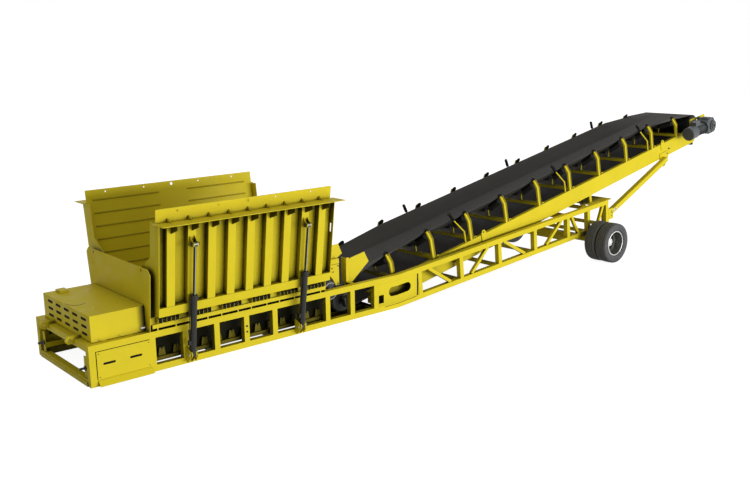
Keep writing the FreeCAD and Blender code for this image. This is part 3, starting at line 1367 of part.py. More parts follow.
def make_props():
    middle = "(-stringer_out - prop_size / 2 - prop_plate)"
    foot = turned_on(ON_TRUSS, "truss_length + prop_gap", middle, "prop_foot_rise")
    head = turned_on(ON_BELT, "belt_length - prop_head_back", middle, "-stringer_depth - prop_head_drop")
    tube = strut("prop", "prop_size", middle, (foot["x"], foot["z"]), (head["x"], head["z"]))
    shoe = place(block("prop_shoe", ("truss_length", "truss_length + prop_plate"),
                       ("-frame_half_width", "-stringer_out"), ("prop_lug_low - 50", "prop_lug_high + 40")),
                       **turned_on(
                           ON_TRUSS, "truss_length", "-frame_half_width", "prop_lug_low - 50"))
    lugs = []
    for y in ("-stringer_out - prop_size - 2 * prop_plate", "-stringer_out - prop_plate"):
        lug = block("prop_lug", ("truss_length", "truss_length + prop_lug_length"), (y, f"{y} + prop_plate"),
                    ("prop_lug_low", "prop_lug_high"))
        lugs.append(place(lug, **turned_on(ON_TRUSS, "truss_length", y, "prop_lug_low")))
    pins = []
    for share in ("0.3", "0.72"):
        pin = round_bar("prop_pin", "prop_pin_radius", "Y", "-stringer_out - prop_size - 2 * prop_plate - 14",
                        "-stringer_out + 14",
                        f"flat_length + (truss_length + prop_lug_length * 0.82) * cos(truss_angle)"
                        f" - (prop_lug_low + (prop_lug_high - prop_lug_low) * {share}) * sin(truss_angle)",
                        f"(truss_length + prop_lug_length * 0.82) * sin(truss_angle)"
                        f" + (prop_lug_low + (prop_lug_high - prop_lug_low) * {share}) * cos(truss_angle)")
        pins.append(pin)
    piece("props", both_sides("props", fuse("prop_near", [tube, shoe] + lugs + pins)))
    corners = [(-194, -397), (-176, -202), (102, -193), (151, -311), (126, -361), (-7, -505), (-67, -514)]
    plate = profile("prop_plate", "XZ_Plane",
                    [(f"belt_length - prop_plate_back + {a}", b) for a, b in corners],
        "-stringer_out - prop_plate", "-stringer_out")
    place(plate, **turned_on(ON_BELT, "0", "-stringer_out", "0"))
    piece("prop_plates", both_sides("prop_plates", plate))


def tyre_profile(middle):
    """One tyre in section: bead, side wall, shoulder and a nearly flat tread."""
    side = "(tyre_width / 2)"
    bead = "(tyre_width / 2 - rim_inset - rim_lip - bead_gap)"
    half = [("rim_radius + bead_gap", bead), ("rim_radius + rim_lip_height + 6", bead),
            ("rim_radius + rim_lip_height + 14", f"{side} - 12"), ("rim_radius + 80", side),
            ("tyre_radius - 45", f"{side} - 4"), ("tyre_radius - 9", f"{side} - 16"),
            ("tyre_radius", f"{side} - 34")]
    lower = [(r, f"-({y})") for r, y in half]
    return turned("tyre", [(r, f"{middle} + ({y})") for r, y in lower + half[::-1]])


def make_wheels():
    outer = "(-wheel_out + tyre_width / 2)"
    inner = f"({outer} + tyre_pitch)"
    at_axle = dict(x=AXLE_X, z="tyre_radius")
    tyres = place(group("tyres", [tyre_profile(outer), tyre_profile(inner)]), **at_axle)
    near = piece("tyres_near", tyres)
    piece("tyres_far", mirrored("tyres_twin", near))
    half = "(tyre_width / 2 - rim_inset)"
    lip = "(rim_radius + rim_lip_height)"
    barrels = []
    for middle in (outer, inner):
        ring = [("rim_radius - rim_wall", f"-{half}"), (lip, f"-{half}"), (lip, f"-{half} + rim_lip"),
                ("rim_radius", f"-{half} + rim_lip"), ("rim_radius", f"{half} - rim_lip"),
                (lip, f"{half} - rim_lip"),
                (lip, half), ("rim_radius - rim_wall", half)]
        barrels.append(turned("rim_barrel", [(r, f"{middle} + ({y})") for r, y in ring]))
    seam = f"({outer} + tyre_pitch / 2)"
    bore = "spindle_radius + running_gap"
    edge = "rim_radius - rim_wall / 2"
    disc = turned("rim_disc", [(bore, f"{seam} - disc_half"), ("disc_radius", f"{seam} - disc_half"),
                               (edge, f"{seam} - disc_dish"), (edge, f"{seam} + disc_dish"),
                               ("disc_radius", f"{seam} + disc_half"), (bore, f"{seam} + disc_half")])
    hub = turned("hub", [(bore, f"{seam} + hub_back"), (bore, f"{seam} - hub_reach"),
                         ("hub_radius - hub_taper", f"{seam} - hub_reach"),
                         ("hub_radius", f"{seam} - hub_reach + hub_taper"),
                         ("hub_radius", f"{seam} + hub_back")])
    rims = place(fuse("rims", barrels + [disc, hub]), **at_axle)
    near = piece("rims_near", rims)
    piece("rims_far", mirrored("rims_twin", near))
    size = "axle_beam_size"
    beam = block("axle_beam", (f"{AXLE_X} - {size} / 2", f"{AXLE_X} + {size} / 2"),
                 ("-wheel_out + axle_beam_inset", "wheel_out - axle_beam_inset"),
                 (f"tyre_radius - {size} / 2", f"tyre_radius + {size} / 2"))
    tip = f"({seam} - hub_reach + 5)"
    spindle = round_bar("spindle", "spindle_radius", "Y", tip, f"-({tip})", AXLE_X, "tyre_radius")
    plates = []
    for y in ("-frame_half_width", f"{INNER}"):
        plate = block("axle_plate", (f"{AXLE_X} - axle_plate_half", f"{AXLE_X} + axle_plate_half"),
                      (y, f"{y} + chord_size"),
                      (f"tyre_radius + {size} / 2", "tyre_radius + axle_plate_height"))
        plates.append(plate)
    trim = block("axle_trim", ("0", "truss_length"), ("-frame_half_width - 10", "frame_half_width + 10"),
                 ("0", "400"))
    place(trim, "flat_length", "-frame_half_width - 10", "0", "0; -1; 0", "truss_angle")
    brackets = [cut("axle_bracket", plate, [trim]) for plate in plates]
    piece("axle", fuse("axle", [beam, spindle] + brackets))


def finish():
    doc.recompute()
    faults = [thing.Name for thing in doc.Objects if "Invalid" in thing.State or "Error" in thing.State]
    for thing in PIECES:
        shape = thing.Shape
        if shape.isNull() or not shape.isValid() or not shape.Solids:
            faults.append(thing.Label)
    if faults:
        raise RuntimeError("these objects failed: " + ", ".join(faults))
    os.makedirs("parts", exist_ok=True)
    for thing in PIECES:
        thing.Shape.exportStep(os.path.join("parts", thing.Label + ".step"))
        litres = thing.Shape.Volume / 1e6
        print(f"{thing.Label:24s} {len(thing.Shape.Solids):3d} solids {litres:10.2f} litres")
    print(len(PIECES), "sub-parts")


make_chassis()
make_feed_end()
make_cladding()
make_hopper_ends()
make_hinges()
make_wings()
make_cylinders()
make_feeder()
make_conveyor()
make_head()
make_chute()
make_supports()
make_props()
make_wheels()
finish()
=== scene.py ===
# %% [markdown]
# # A truck-unloading stacker conveyor, dressed for its portrait
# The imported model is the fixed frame: every position below comes from it. The machine stands with its feed
# end on the ground at x = 0, its discharge head high at the far end of +X, and its near side towards -Y.
# Blender works in metres here, so a size of 0.090 is ninety millimetres.

# %% Load the frame
import json
import math
import bmesh
import bpy
from mathutils import Matrix, Vector


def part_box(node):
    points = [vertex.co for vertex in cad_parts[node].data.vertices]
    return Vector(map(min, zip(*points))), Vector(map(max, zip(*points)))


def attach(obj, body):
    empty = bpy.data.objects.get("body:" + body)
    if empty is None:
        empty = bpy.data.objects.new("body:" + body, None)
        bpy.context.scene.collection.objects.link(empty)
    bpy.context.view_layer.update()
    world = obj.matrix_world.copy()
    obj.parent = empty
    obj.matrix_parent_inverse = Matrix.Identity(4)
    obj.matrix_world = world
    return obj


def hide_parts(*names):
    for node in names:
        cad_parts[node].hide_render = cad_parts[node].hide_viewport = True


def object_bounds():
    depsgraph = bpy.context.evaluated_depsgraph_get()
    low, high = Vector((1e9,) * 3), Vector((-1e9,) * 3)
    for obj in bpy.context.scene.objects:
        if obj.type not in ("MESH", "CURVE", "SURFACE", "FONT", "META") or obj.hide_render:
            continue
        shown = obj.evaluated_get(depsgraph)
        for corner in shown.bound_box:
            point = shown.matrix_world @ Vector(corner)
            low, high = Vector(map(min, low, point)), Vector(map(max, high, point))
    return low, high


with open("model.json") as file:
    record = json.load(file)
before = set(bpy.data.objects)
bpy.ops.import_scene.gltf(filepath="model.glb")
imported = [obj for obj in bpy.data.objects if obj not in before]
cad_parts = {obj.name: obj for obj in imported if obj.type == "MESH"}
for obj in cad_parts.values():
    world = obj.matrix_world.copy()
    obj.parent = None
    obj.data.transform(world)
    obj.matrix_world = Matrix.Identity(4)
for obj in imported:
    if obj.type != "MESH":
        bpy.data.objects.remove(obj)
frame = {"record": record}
cad_low, cad_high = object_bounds()
print("the machine is", [round(size, 2) for size in cad_high - cad_low], "metres")

# %% [markdown]
# ## Camera
# A long machine looks right from a three-quarter view, low enough to see under the truss and high enough
# to see the top of the belt. A 43 mm lens from 12 m away keeps its perspective natural. The camera's axes
# are built by hand, as a right, an up and a forward direction, because the view has a slight roll.

# %% Camera
LENS_MM, SENSOR_MM, FARTHEST = 42.93, 36, 200
CAMERA_PLACE = Vector((-4.230, -11.399, 4.243))
VIEW_YAW, VIEW_PITCH, VIEW_ROLL = (math.radians(angle) for angle in (40.634, 12.957, -0.667))


def camera_axes(yaw, pitch, roll):
    """Right, up and forward of a view turned from +Y towards +X, tipped down and rolled."""
    forward = Vector((math.sin(yaw) * math.cos(pitch), math.cos(yaw) * math.cos(pitch), -math.sin(pitch)))
    level = Vector((math.cos(yaw), -math.sin(yaw), 0))
    above = level.cross(forward)
    right = math.cos(roll) * level + math.sin(roll) * above
    up = math.cos(roll) * above - math.sin(roll) * level
    return right, up, forward


right, up, forward = camera_axes(VIEW_YAW, VIEW_PITCH, VIEW_ROLL)
camera = bpy.data.objects.new("camera", bpy.data.cameras.new("camera"))
camera.data.lens = LENS_MM
camera.data.sensor_width = SENSOR_MM
camera.data.clip_end = FARTHEST
camera.matrix_world = Matrix((right, up, -forward)).transposed().to_4x4()
camera.location = CAMERA_PLACE
bpy.context.scene.collection.objects.link(camera)
bpy.context.scene.camera = camera
bpy.context.scene.view_settings.view_transform = "Standard"
print("camera looks along", [round(part, 3) for part in forward])

# %% [markdown]
# ## Node helpers
# Every finish is a small shader graph. A few helpers keep the graphs readable: one adds a node and sets its
# sockets, one joins an output to an input, and the rest are the handful of patterns that paint, rubber and
# steel share. Patterns read the object's own coordinates, which here are metres, so a scale of 90 gives
# grains about a centimetre across wherever the machine stands.

# %% Nodes and links
def add_node(material, kind, **sockets):
    """Add a shader node and set the sockets named in words, with _ for a space."""
    node = material.node_tree.nodes.new("ShaderNode" + kind)
    for name, value in sockets.items():
        node.inputs[name.replace("_", " ")].default_value = value
    return node


def join(material, output, target):
    material.node_tree.links.new(output, target)


def new_material(name):
    """A material and its surface shader."""
    material = bpy.data.materials.new(name)
    material.use_nodes = True
    return material, material.node_tree.nodes["Principled BSDF"]


def arithmetic(material, operation, *values):
    """A Math node whose inputs are each a socket or a number."""
    node = add_node(material, "Math")
    node.operation = operation
    for target, value in zip(node.inputs, values):
        if isinstance(value, (int, float)):
            target.default_value = value
        else:
            join(material, value, target)
    return node.outputs[0]


def map_range(material, value, low, high):
    """0 below the low value, 1 above the high one and even between."""
    node = add_node(material, "MapRange", From_Min=low, From_Max=high)
    join(material, value, node.inputs["Value"])
    return node.outputs[0]


# %% Colours
def tinted(colour, share):
    """The same colour, darker below a share of 1 and lighter above it."""
    return tuple(part * share for part in colour)


def ramp(material, value, stops, sharp=False):
    """Map a value to colours, given as stops of a position and a colour or a grey level."""
    colours = add_node(material, "ValToRGB")
    colours.color_ramp.interpolation = "CONSTANT" if sharp else "LINEAR"
    elements = colours.color_ramp.elements
    while len(elements) < len(stops):
        elements.new(0.5)
    for element, (position, colour) in zip(elements, stops):
        element.position = position
        element.color = (*colour, 1) if isinstance(colour, tuple) else (colour, colour, colour, 1)
    join(material, value, colours.inputs["Fac"])
    return colours.outputs["Color"]


def blend_colours(material, share, first, second):
    """Mix two colours, each a socket or a plain colour, by a share that is a socket."""
    mix = add_node(material, "Mix")
    mix.data_type = "RGBA"
    join(material, share, mix.inputs["Factor"])
    targets = [socket for socket in mix.inputs if socket.type == "RGBA"]
    for target, colour in zip(targets, (first, second)):
        if isinstance(colour, tuple):
            target.default_value = (*colour, 1)
        else:
            join(material, colour, target)
    return next(socket for socket in mix.outputs if socket.type == "RGBA")


# %% Places and patterns
def object_place(material, stretch=(1, 1, 1)):
    """The shading point in metres of the machine's own frame, stretched along each axis."""
    place = add_node(material, "TexCoord").outputs["Object"]
    if stretch == (1, 1, 1):
        return place
    mapping = add_node(material, "Mapping", Scale=stretch)
    join(material, place, mapping.inputs["Vector"])
    return mapping.outputs["Vector"]


def along_axis(material, axis):
    """The shading point's place along one axis, with Y as its distance from the middle plane."""
    parts = add_node(material, "SeparateXYZ")
    join(material, object_place(material), parts.inputs[0])
    if axis == "Y":
        return arithmetic(material, "ABSOLUTE", parts.outputs["Y"])
    return parts.outputs[axis]


def noise(material, scale, detail=3.0, roughness=0.55, stretch=(1, 1, 1)):
    texture = add_node(material, "TexNoise", Scale=scale, Detail=detail, Roughness=roughness)
    join(material, object_place(material, stretch), texture.inputs["Vector"])
    return texture.outputs["Fac"]


def bump(material, shader, height, strength, distance=0.002, normal=None):
    node = add_node(material, "Bump", Strength=strength, Distance=distance)
    join(material, height, node.inputs["Height"])
    if normal is not None:
        join(material, normal, node.inputs["Normal"])
    join(material, node.outputs["Normal"], shader.inputs["Normal"])


# %% [markdown]
# ## Crevices and edges
# Two things make sprayed steel read as steel. Corners and gaps are darkened in the base colour, a painted
# shade, so they are duller than open sheet; the Ambient Occlusion node finds them. It counts the floor as a
# neighbour too, which would darken the frame's low outer faces out in the open, so floor_share gives that
# part back. Edges catch the light, because no bent or cut edge is truly sharp; the Bevel node finds those by
# comparing a rounded normal with the flat one. None of them looks at the viewer, so they can be baked.

# %% Crevice and edge helpers
CREVICE_REACH, CREVICE_SAMPLES = 0.55, 8
EDGE_RADIUS, EDGE_SAMPLES = 0.005, 4
FLOOR_REACH, OUTER_FACE, FLOOR_HIDES = 0.45, 0.876, 0.42


def openness(material, reach=CREVICE_REACH):
    """1 in the open, falling to 0 deep in a corner or a gap."""
    node = add_node(material, "AmbientOcclusion", Distance=reach)
    node.samples = CREVICE_SAMPLES
    return node.outputs["AO"]


def floor_share(material):
    """The part of the openness that the floor hides from the frame's low outer faces."""
    low = map_range(material, along_axis(material, "Z"), FLOOR_REACH, 0)
    outer = arithmetic(material, "GREATER_THAN", along_axis(material, "Y"), OUTER_FACE)
    return arithmetic(material, "MULTIPLY", arithmetic(material, "MULTIPLY", low, outer), FLOOR_HIDES)


def paint_gap_shade(material, base, dark, reach, stops):
    """Painted shade: blend the base colour to a dark one where little is open, as the ramp's stops say."""
    return blend_colours(material, ramp(material, openness(material, reach), stops), dark, base)


def edges(material):
    """A share that is high on rounded edges, and the rounded normal itself."""
    rounded = add_node(material, "Bevel", Radius=EDGE_RADIUS)
    rounded.samples = EDGE_SAMPLES
    flat = add_node(material, "NewGeometry")
    likeness = add_node(material, "VectorMath")
    likeness.operation = "DOT_PRODUCT"
    join(material, rounded.outputs[0], likeness.inputs[0])
    join(material, flat.outputs["Normal"], likeness.inputs[1])
    return ramp(material, likeness.outputs["Value"], [(0.80, 1), (0.99, 0)]), rounded.outputs[0]


# %% [markdown]
# ## Yellow paint
# The steelwork is sprayed with a machine yellow. Sprayed paint is never perfectly even, so a slow noise
# shifts its colour a little and a fine one gives the faint orange peel that breaks up reflections. Painted
# shade darkens the corners, and the coat is a touch lighter on edges, where it pulls thin over the primer.

# %% Yellow paint
DRIFT_GRAIN, SPECK_GRAIN, WEAR_GRAIN, PEEL_GRAIN = 1.7, 38, 5.5, 90
SCUFFED, HALF_SHADED, PEEL_STRENGTH = 0.62, 0.42, 0.10


def sprayed_paint(name, colour, shade=0.92, gloss=0.5, corner=0.03, specular=0.12):
    """A coat whose tone drifts at random to the shade share, with painted shade that falls to the corner's
    share in gaps.
    """
    material, shader = new_material(name)
    drift = noise(material, DRIFT_GRAIN, detail=4)
    coat = ramp(material, drift, [(0.3, tinted(colour, shade)), (0.7, colour)])
    specks = ramp(material, noise(material, SPECK_GRAIN, detail=6, roughness=0.75), [(0.66, 0), (0.74, 0.35)])
    coat = blend_colours(material, specks, coat, tinted(colour, SCUFFED))
    on_edge, rounded = edges(material)
    coat = blend_colours(material, on_edge, coat, tuple(min(1, part * 1.1 + 0.01) for part in colour))
    # Painted shade: the coat darkens to deep in closed gaps and to half where they are half open.
    deep, half = tinted(colour, corner), tinted(colour, min(1, HALF_SHADED + corner))
    open_share = arithmetic(material, "ADD", openness(material), floor_share(material))
    shaded = ramp(material, open_share, [(0.28, deep), (0.50, half), (0.80, colour)])
    unshaded_share = ramp(material, open_share, [(0.28, 0), (0.8, 1)])
    join(material, blend_colours(material, unshaded_share, shaded, coat), shader.inputs["Base Color"])
    wear = noise(material, WEAR_GRAIN, detail=6, roughness=0.6)
    worn = ramp(material, wear, [(0.35, gloss - 0.08), (0.7, gloss + 0.14)])
    join(material, worn, shader.inputs["Roughness"])
    shader.inputs["Specular IOR Level"].default_value = specular
    bump(material, shader, noise(material, PEEL_GRAIN, detail=2), PEEL_STRENGTH, normal=rounded)
    return material


YELLOW = (0.77, 0.625, 0.020)
yellow_paint = sprayed_paint("yellow_paint", YELLOW)
print("yellow paint ready")

# %% [markdown]
# ## Dark paints
# The drive and the cylinders come painted from their makers in greys. The same spray recipe serves, with
# another colour: a mid grey for the gearbox, a darker one for the motor, and nearly black for the
# cylinder barrels. The switch box is green, and the hub caps are nearly white.

# %% Dark and pale paints
case_grey = sprayed_paint("case_grey", (0.098, 0.106, 0.110), gloss=0.45, specular=0.3)
motor_grey = sprayed_paint("motor_grey", (0.060, 0.064, 0.068), gloss=0.5, specular=0.3)
barrel_black = sprayed_paint("barrel_black", (0.017, 0.018, 0.018), gloss=0.4, specular=0.3)
valve_green = sprayed_paint("valve_green", (0.030, 0.130, 0.060), gloss=0.4, specular=0.3)
hub_white = sprayed_paint("hub_white", (0.88, 0.90, 0.89), gloss=0.35, corner=0.75, specular=0.3)
print("dark and pale paints ready")

# %% [markdown]
# ## Belt and seal rubber
# Belt rubber is matt, and the load polishes it in long streaks along the run, so its noise is stretched
# along the belt. The same recipe serves the small seals and covers, and the black sheets that stand as
# painted shade in slots and gaps, in a deeper black and with less shine, because what is small and half
# hidden must not catch the sky. The feeder's belt is as black, painted shade for the shade it lies in.

# %% Belt and seal rubber
STREAK_STRETCH = (0.35, 14, 0.35)


def belt_finish(name, colour, streak, specular=0.3):
    """Matt rubber whose streaks differ from its colour by the streak's share."""
    material, shader = new_material(name)
    along = noise(material, 1.0, detail=6, roughness=0.65, stretch=STREAK_STRETCH)
    patches = ramp(material, noise(material, 2.2, detail=5), [(0.45, 0), (0.75, 0.6)])
    base = ramp(material, along, [(0.38, colour), (0.68, tinted(colour, streak))])
    base = blend_colours(material, patches, base, tinted(colour, 0.8))
    # Painted shade: the rubber darkens where little is open.
    base = paint_gap_shade(material, base, tinted(colour, 0.2), 0.4, [(0.1, 0.12), (0.85, 1)])
    join(material, base, shader.inputs["Base Color"])
    join(material, ramp(material, along, [(0.3, 0.75), (0.7, 0.66)]), shader.inputs["Roughness"])
    shader.inputs["Specular IOR Level"].default_value = specular
    bump(material, shader, noise(material, 150, detail=3), 0.25)
    return material


belt_rubber = belt_finish("belt_rubber", (0.033, 0.031, 0.026), 1.04)
# Painted shade: the feeder's belt is near black for the shade it lies in between the side frames.
feeder_rubber = belt_finish("feeder_rubber", (0.009, 0.009, 0.008), 1.2, specular=0.08)
seal_and_shade_rubber = belt_finish("seal_and_shade_rubber", (0.009, 0.009, 0.008), 1.3, specular=0.08)
print("belt and seal rubber ready")

# %% [markdown]
# ## Tyre rubber
# Tyre rubber has no streaks. Its tread is browner with road dust, and its side walls are smoother and
# bluer. Both are one mesh, so the distance from the axle tells them apart: the tread is all that lies
# near the full radius.

# %% Tyre rubber
AXLE_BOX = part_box("rims_near")
AXLE = Vector(((AXLE_BOX[0].x + AXLE_BOX[1].x) / 2, 0, (AXLE_BOX[0].z + AXLE_BOX[1].z) / 2))
TREAD_FROM, SHOULDER = 0.372, 0.012


def from_axle(material):
    """How far the shading point is from the wheels' axle."""
    flat = add_node(material, "VectorMath")
    flat.operation = "MULTIPLY"
    flat.inputs[1].default_value = (1, 0, 1)
    join(material, object_place(material), flat.inputs[0])
    away = add_node(material, "VectorMath")
    away.operation = "DISTANCE"
    away.inputs[1].default_value = AXLE
    join(material, flat.outputs[0], away.inputs[0])
    return away.outputs["Value"]


def tyre_finish(name, tread, wall):
    material, shader = new_material(name)
    zone = ramp(material, from_axle(material), [(TREAD_FROM - SHOULDER, wall), (TREAD_FROM, tread)])
    dust = ramp(material, noise(material, 9, detail=6, roughness=0.7), [(0.45, 0), (0.8, 0.5)])
    base = blend_colours(material, dust, zone, tinted(tread, 1.5))
    # Painted shade: the tyre darkens where little is open.
    base = paint_gap_shade(material, base, (0.006, 0.006, 0.006), 0.25, [(0.1, 0.1), (0.8, 1)])
    join(material, base, shader.inputs["Base Color"])
    join(material, ramp(material, noise(material, 20, detail=4), [(0.3, 0.6), (0.7, 0.8)]),
         shader.inputs["Roughness"])
    shader.inputs["Specular IOR Level"].default_value = 0.3
    bump(material, shader, noise(material, 180, detail=3), 0.3)
    return material


tyre_rubber = tyre_finish("tyre_rubber", (0.088, 0.086, 0.080), (0.078, 0.078, 0.082))
print("tyre rubber ready")

# %% [markdown]
# ## Bare and plated metal
# Zinc-plated bolts and steel are mottled in grey, so one recipe gives them a noise in both colour and
# roughness. The wheel is one pressing with four finishes, told apart by their distance from the axle: a
# pale hub, a black dish, a grey barrel round it and a silver lip that holds the tyre.

# %% Metal finishes
CAP_RADIUS, DISH_RADIUS, LIP_RADIUS, BARREL_LIGHTER = 0.085, 0.185, 0.2235, 26


def metal(name, colour, roughness, metallic=1.0, grain=12):
    material, shader = new_material(name)
    mottle = noise(material, grain, detail=5, roughness=0.65)
    join(material, ramp(material, mottle, [(0.3, tinted(colour, 0.8)), (0.7, colour)]),
         shader.inputs["Base Color"])
    join(material, ramp(material, mottle, [(0.3, roughness * 1.3), (0.7, roughness * 0.85)]),
         shader.inputs["Roughness"])
    shader.inputs["Metallic"].default_value = metallic
    bump(material, shader, noise(material, 220, detail=2), 0.08, 0.001)
    return material


def wheel_finish(name, cap, dish, lip):
    material, shader = new_material(name)
    barrel = tinted(dish, BARREL_LIGHTER)
    zones = ramp(material, from_axle(material),
                 [(0.0, cap), (CAP_RADIUS, dish), (DISH_RADIUS, barrel), (LIP_RADIUS, lip)], sharp=True)
    mottle = ramp(material, noise(material, 14, detail=5), [(0.3, 0.55), (0.7, 0.0)])
    base = blend_colours(material, mottle, zones, dish)
    # Painted shade: the wheel darkens where little is open.
    base = paint_gap_shade(material, base, (0.004, 0.004, 0.004), 0.1, [(0.05, 0.3), (0.7, 1)])
    join(material, base, shader.inputs["Base Color"])
    shader.inputs["Roughness"].default_value = 0.5
    shader.inputs["Specular IOR Level"].default_value = 0.1
    bump(material, shader, noise(material, 120, detail=2), 0.06, 0.001)
    return material


zinc_plate = metal("zinc_plate", (0.62, 0.62, 0.60), 0.38, metallic=0.8, grain=60)
dark_steel = metal("dark_steel", (0.035, 0.034, 0.031), 0.5, metallic=0.3, grain=30)
roller_steel = metal("roller_steel", (0.016, 0.016, 0.015), 0.55, metallic=0.2, grain=20)
wheel_paint = wheel_finish("wheel_paint", (0.80, 0.82, 0.81), (0.008, 0.008, 0.007), (0.72, 0.73, 0.72))
print("metals ready")

# %% [markdown]
# ## Rod chrome
# A chromed rod shows what stands beside it: the dark frame to one side, the bright yard in the middle and
# the yellow ribs to the other. The render's studio is emptier than a real yard, so the finish paints that
# reflection into its colour, as bands that turn with the surface's own direction. The eye at its top is
# painted darker, a painted dimming of its reflection.

# %% Rod chrome
ROD_EYE_LOW, EYE_DARKENING = 1.690, 0.8


def base_socket(material):
    return material.node_tree.nodes["Principled BSDF"].inputs["Base Color"]


def repaint(material, colour, *shares):
    """Mix another colour over what the material has, by a share from 0 to 1 or by two multiplied."""
    share = shares[0] if len(shares) == 1 else arithmetic(material, "MULTIPLY", *shares)
    target = base_socket(material)
    join(material, blend_colours(material, share, target.links[0].from_socket, colour), target)


def where(material, axis, operation, level):
    """1 where the place along an axis is GREATER_THAN or LESS_THAN a level."""
    return arithmetic(material, operation, along_axis(material, axis), level)


def rod_finish(name, bright, dark, warm):
    material = metal(name, bright, 0.2)
    facing = add_node(material, "SeparateXYZ")
    join(material, add_node(material, "TexCoord").outputs["Normal"], facing.inputs[0])
    side = map_range(material, facing.outputs["X"], -1, 1)
    # Painted reflection: dark to one side, bright in the middle and yellow to the other, by the surface's
    # direction.
    mirrored = ramp(material, side, [(0.45, dark), (0.49, bright), (0.60, bright), (0.66, warm)])
    share = ramp(material, base_socket(material).links[0].from_socket, [(0, 0.9), (1, 1)])
    repaint(material, mirrored, share)
    # Painted shade: the eye at the rod's top is darkened to dim its reflection.
    repaint(material, dark, where(material, "Z", "GREATER_THAN", ROD_EYE_LOW), EYE_DARKENING)
    return material


rod_chrome = rod_finish("rod_chrome", (0.62, 0.61, 0.55), (0.008, 0.008, 0.006), (0.10, 0.085, 0.012))
print("rod chrome ready")

# %% [markdown]
# ## Painted shade on yellow
# Some yellow pieces are black in part, as painted shade. The feeder's side sheets are painted black under
# the hopper, inside their yellow saddles, where they stand in shade. The hood's sides go dark beside the
# hopper's end plate, a painted shade in that corner. So do the rails above and below the hinges, where they
# face each other across a shaded gap. Each dark zone is a share worked out from the place along an axis, so
# nothing needs painting by hand.

# %% Painted shade
SHADE_BLACK = (0.010, 0.010, 0.004)
FEEDER_SHEET, FEEDER_SHADE_FROM, FEEDER_SHADE_FADE = 0.652, 0.80, 0.10
HOOD_SIDE, HOOD_DARKENS, HOOD_DARK = 0.766, 0.735, 0.835
HINGE_ZONES = (("hinge_rail", "GREATER_THAN", 0.6515), ("wing_rail", "LESS_THAN", 0.7665))

feeder_paint = sprayed_paint("feeder_paint", YELLOW, gloss=0.6, specular=0.05)
# Painted shade inside the feeder's saddles under the hopper.
within = where(feeder_paint, "Y", "LESS_THAN", FEEDER_SHEET)
under_hopper = map_range(feeder_paint, along_axis(feeder_paint, "X"), FEEDER_SHADE_FROM, FEEDER_SHADE_FROM + FEEDER_SHADE_FADE)
repaint(feeder_paint, SHADE_BLACK, within, under_hopper)

hood_paint = sprayed_paint("hood_paint", YELLOW)
# Painted shade on the hood's sides beside the hopper's end plate.
beside_plate = map_range(hood_paint, along_axis(hood_paint, "X"), HOOD_DARKENS, HOOD_DARK)
on_side = where(hood_paint, "Y", "GREATER_THAN", HOOD_SIDE)
repaint(hood_paint, SHADE_BLACK, beside_plate, on_side)

hinge_paints = {}
# Painted shade on the hinge rails' tops and the wing rails' lower faces, across the hinge gap.
for part, operation, level in HINGE_ZONES:
    hinge_paints[part] = sprayed_paint(part + "_paint", YELLOW)
    repaint(hinge_paints[part], SHADE_BLACK, where(hinge_paints[part], "Z", operation, level))
print("shade_painted finishes ready")

# %% [markdown]
# ## Shaded yellows
# Some yellow sheet is painted darker as painted shade, for the shade it stands in: the feeder's rails, the
# spill tray, the ridges pressed into the wings, whose darker paint stands for the shade on their lower sides,
# and the gussets under the wings' ledges. A ledge has nearly black gussets in painted shade, a plain lip and
# a top painted darker, one above the other, so the place along Z tells them apart.

# %% Shaded yellows
LEDGE_UNDER, LEDGE_TOP = 2.028, 2.041
shaded_yellow = sprayed_paint("shaded_yellow", tinted(YELLOW, 0.30))
# Painted shade: the ridges' darker paint stands for the shade on their lower sides.
ridge_paint = sprayed_paint("ridge_paint", tinted(YELLOW, 0.55))
ledge_paint = sprayed_paint("ledge_paint", YELLOW, shade=0.88)
# Painted shade: nearly black under the ledge and darker on its top.
LEDGE_ZONES = (("LESS_THAN", LEDGE_UNDER, 0.95, 0.08), ("GREATER_THAN", LEDGE_TOP, 0.80, 0.75))
for operation, level, cover, tone in LEDGE_ZONES:
    repaint(ledge_paint, tinted(YELLOW, tone), where(ledge_paint, "Z", operation, level), cover)
print("shaded yellows ready")

# %% [markdown]
# ## Bracket paint
# Each bracket that holds a roller's end is folded along its middle, and the fold's rear half faces away
# from the light, so it is painted darker as painted shade. The brackets repeat at every station, so the
# distance along the belt is wrapped to one station's pitch, and one ramp then serves all of them.

# %% Bracket paint
BELT_TAIL, BELT_SLOPE = Vector((4.330, 0, 0.220)), math.radians(11.65)
BELT_RUN, STATION_FIRST, STATION_COUNT, HEAD_SPACE = 10.460, 1.062, 10, 0.776
STATION_PITCH = (BELT_RUN - HEAD_SPACE - STATION_FIRST) / (STATION_COUNT - 1)
STATIONS = [STATION_FIRST + number * STATION_PITCH for number in range(STATION_COUNT)]
ALONG_BELT = Vector((math.cos(BELT_SLOPE), 0, math.sin(BELT_SLOPE)))
FOLD_START, FOLD_END, BRACKET_FROM, FOLD_TONE = -0.008, 0.010, 0.585, 0.33

bracket_paint = sprayed_paint("bracket_paint", YELLOW)
run = add_node(bracket_paint, "VectorMath")
run.operation = "DOT_PRODUCT"
run.inputs[1].default_value = ALONG_BELT
join(bracket_paint, object_place(bracket_paint), run.inputs[0])
to_first = -(BELT_TAIL.dot(ALONG_BELT) + STATION_FIRST)
from_station = arithmetic(bracket_paint, "ADD", run.outputs["Value"], to_first)
from_station = arithmetic(bracket_paint, "WRAP", from_station, STATION_PITCH / 2, -STATION_PITCH / 2)
fold = map_range(bracket_paint, from_station, FOLD_START, FOLD_END)
outer = where(bracket_paint, "Y", "GREATER_THAN", BRACKET_FROM)
# Painted shade on each bracket's rear half.
repaint(bracket_paint, tinted(YELLOW, FOLD_TONE), fold, outer)
print("bracket paint repeats every", round(STATION_PITCH, 3), "m")

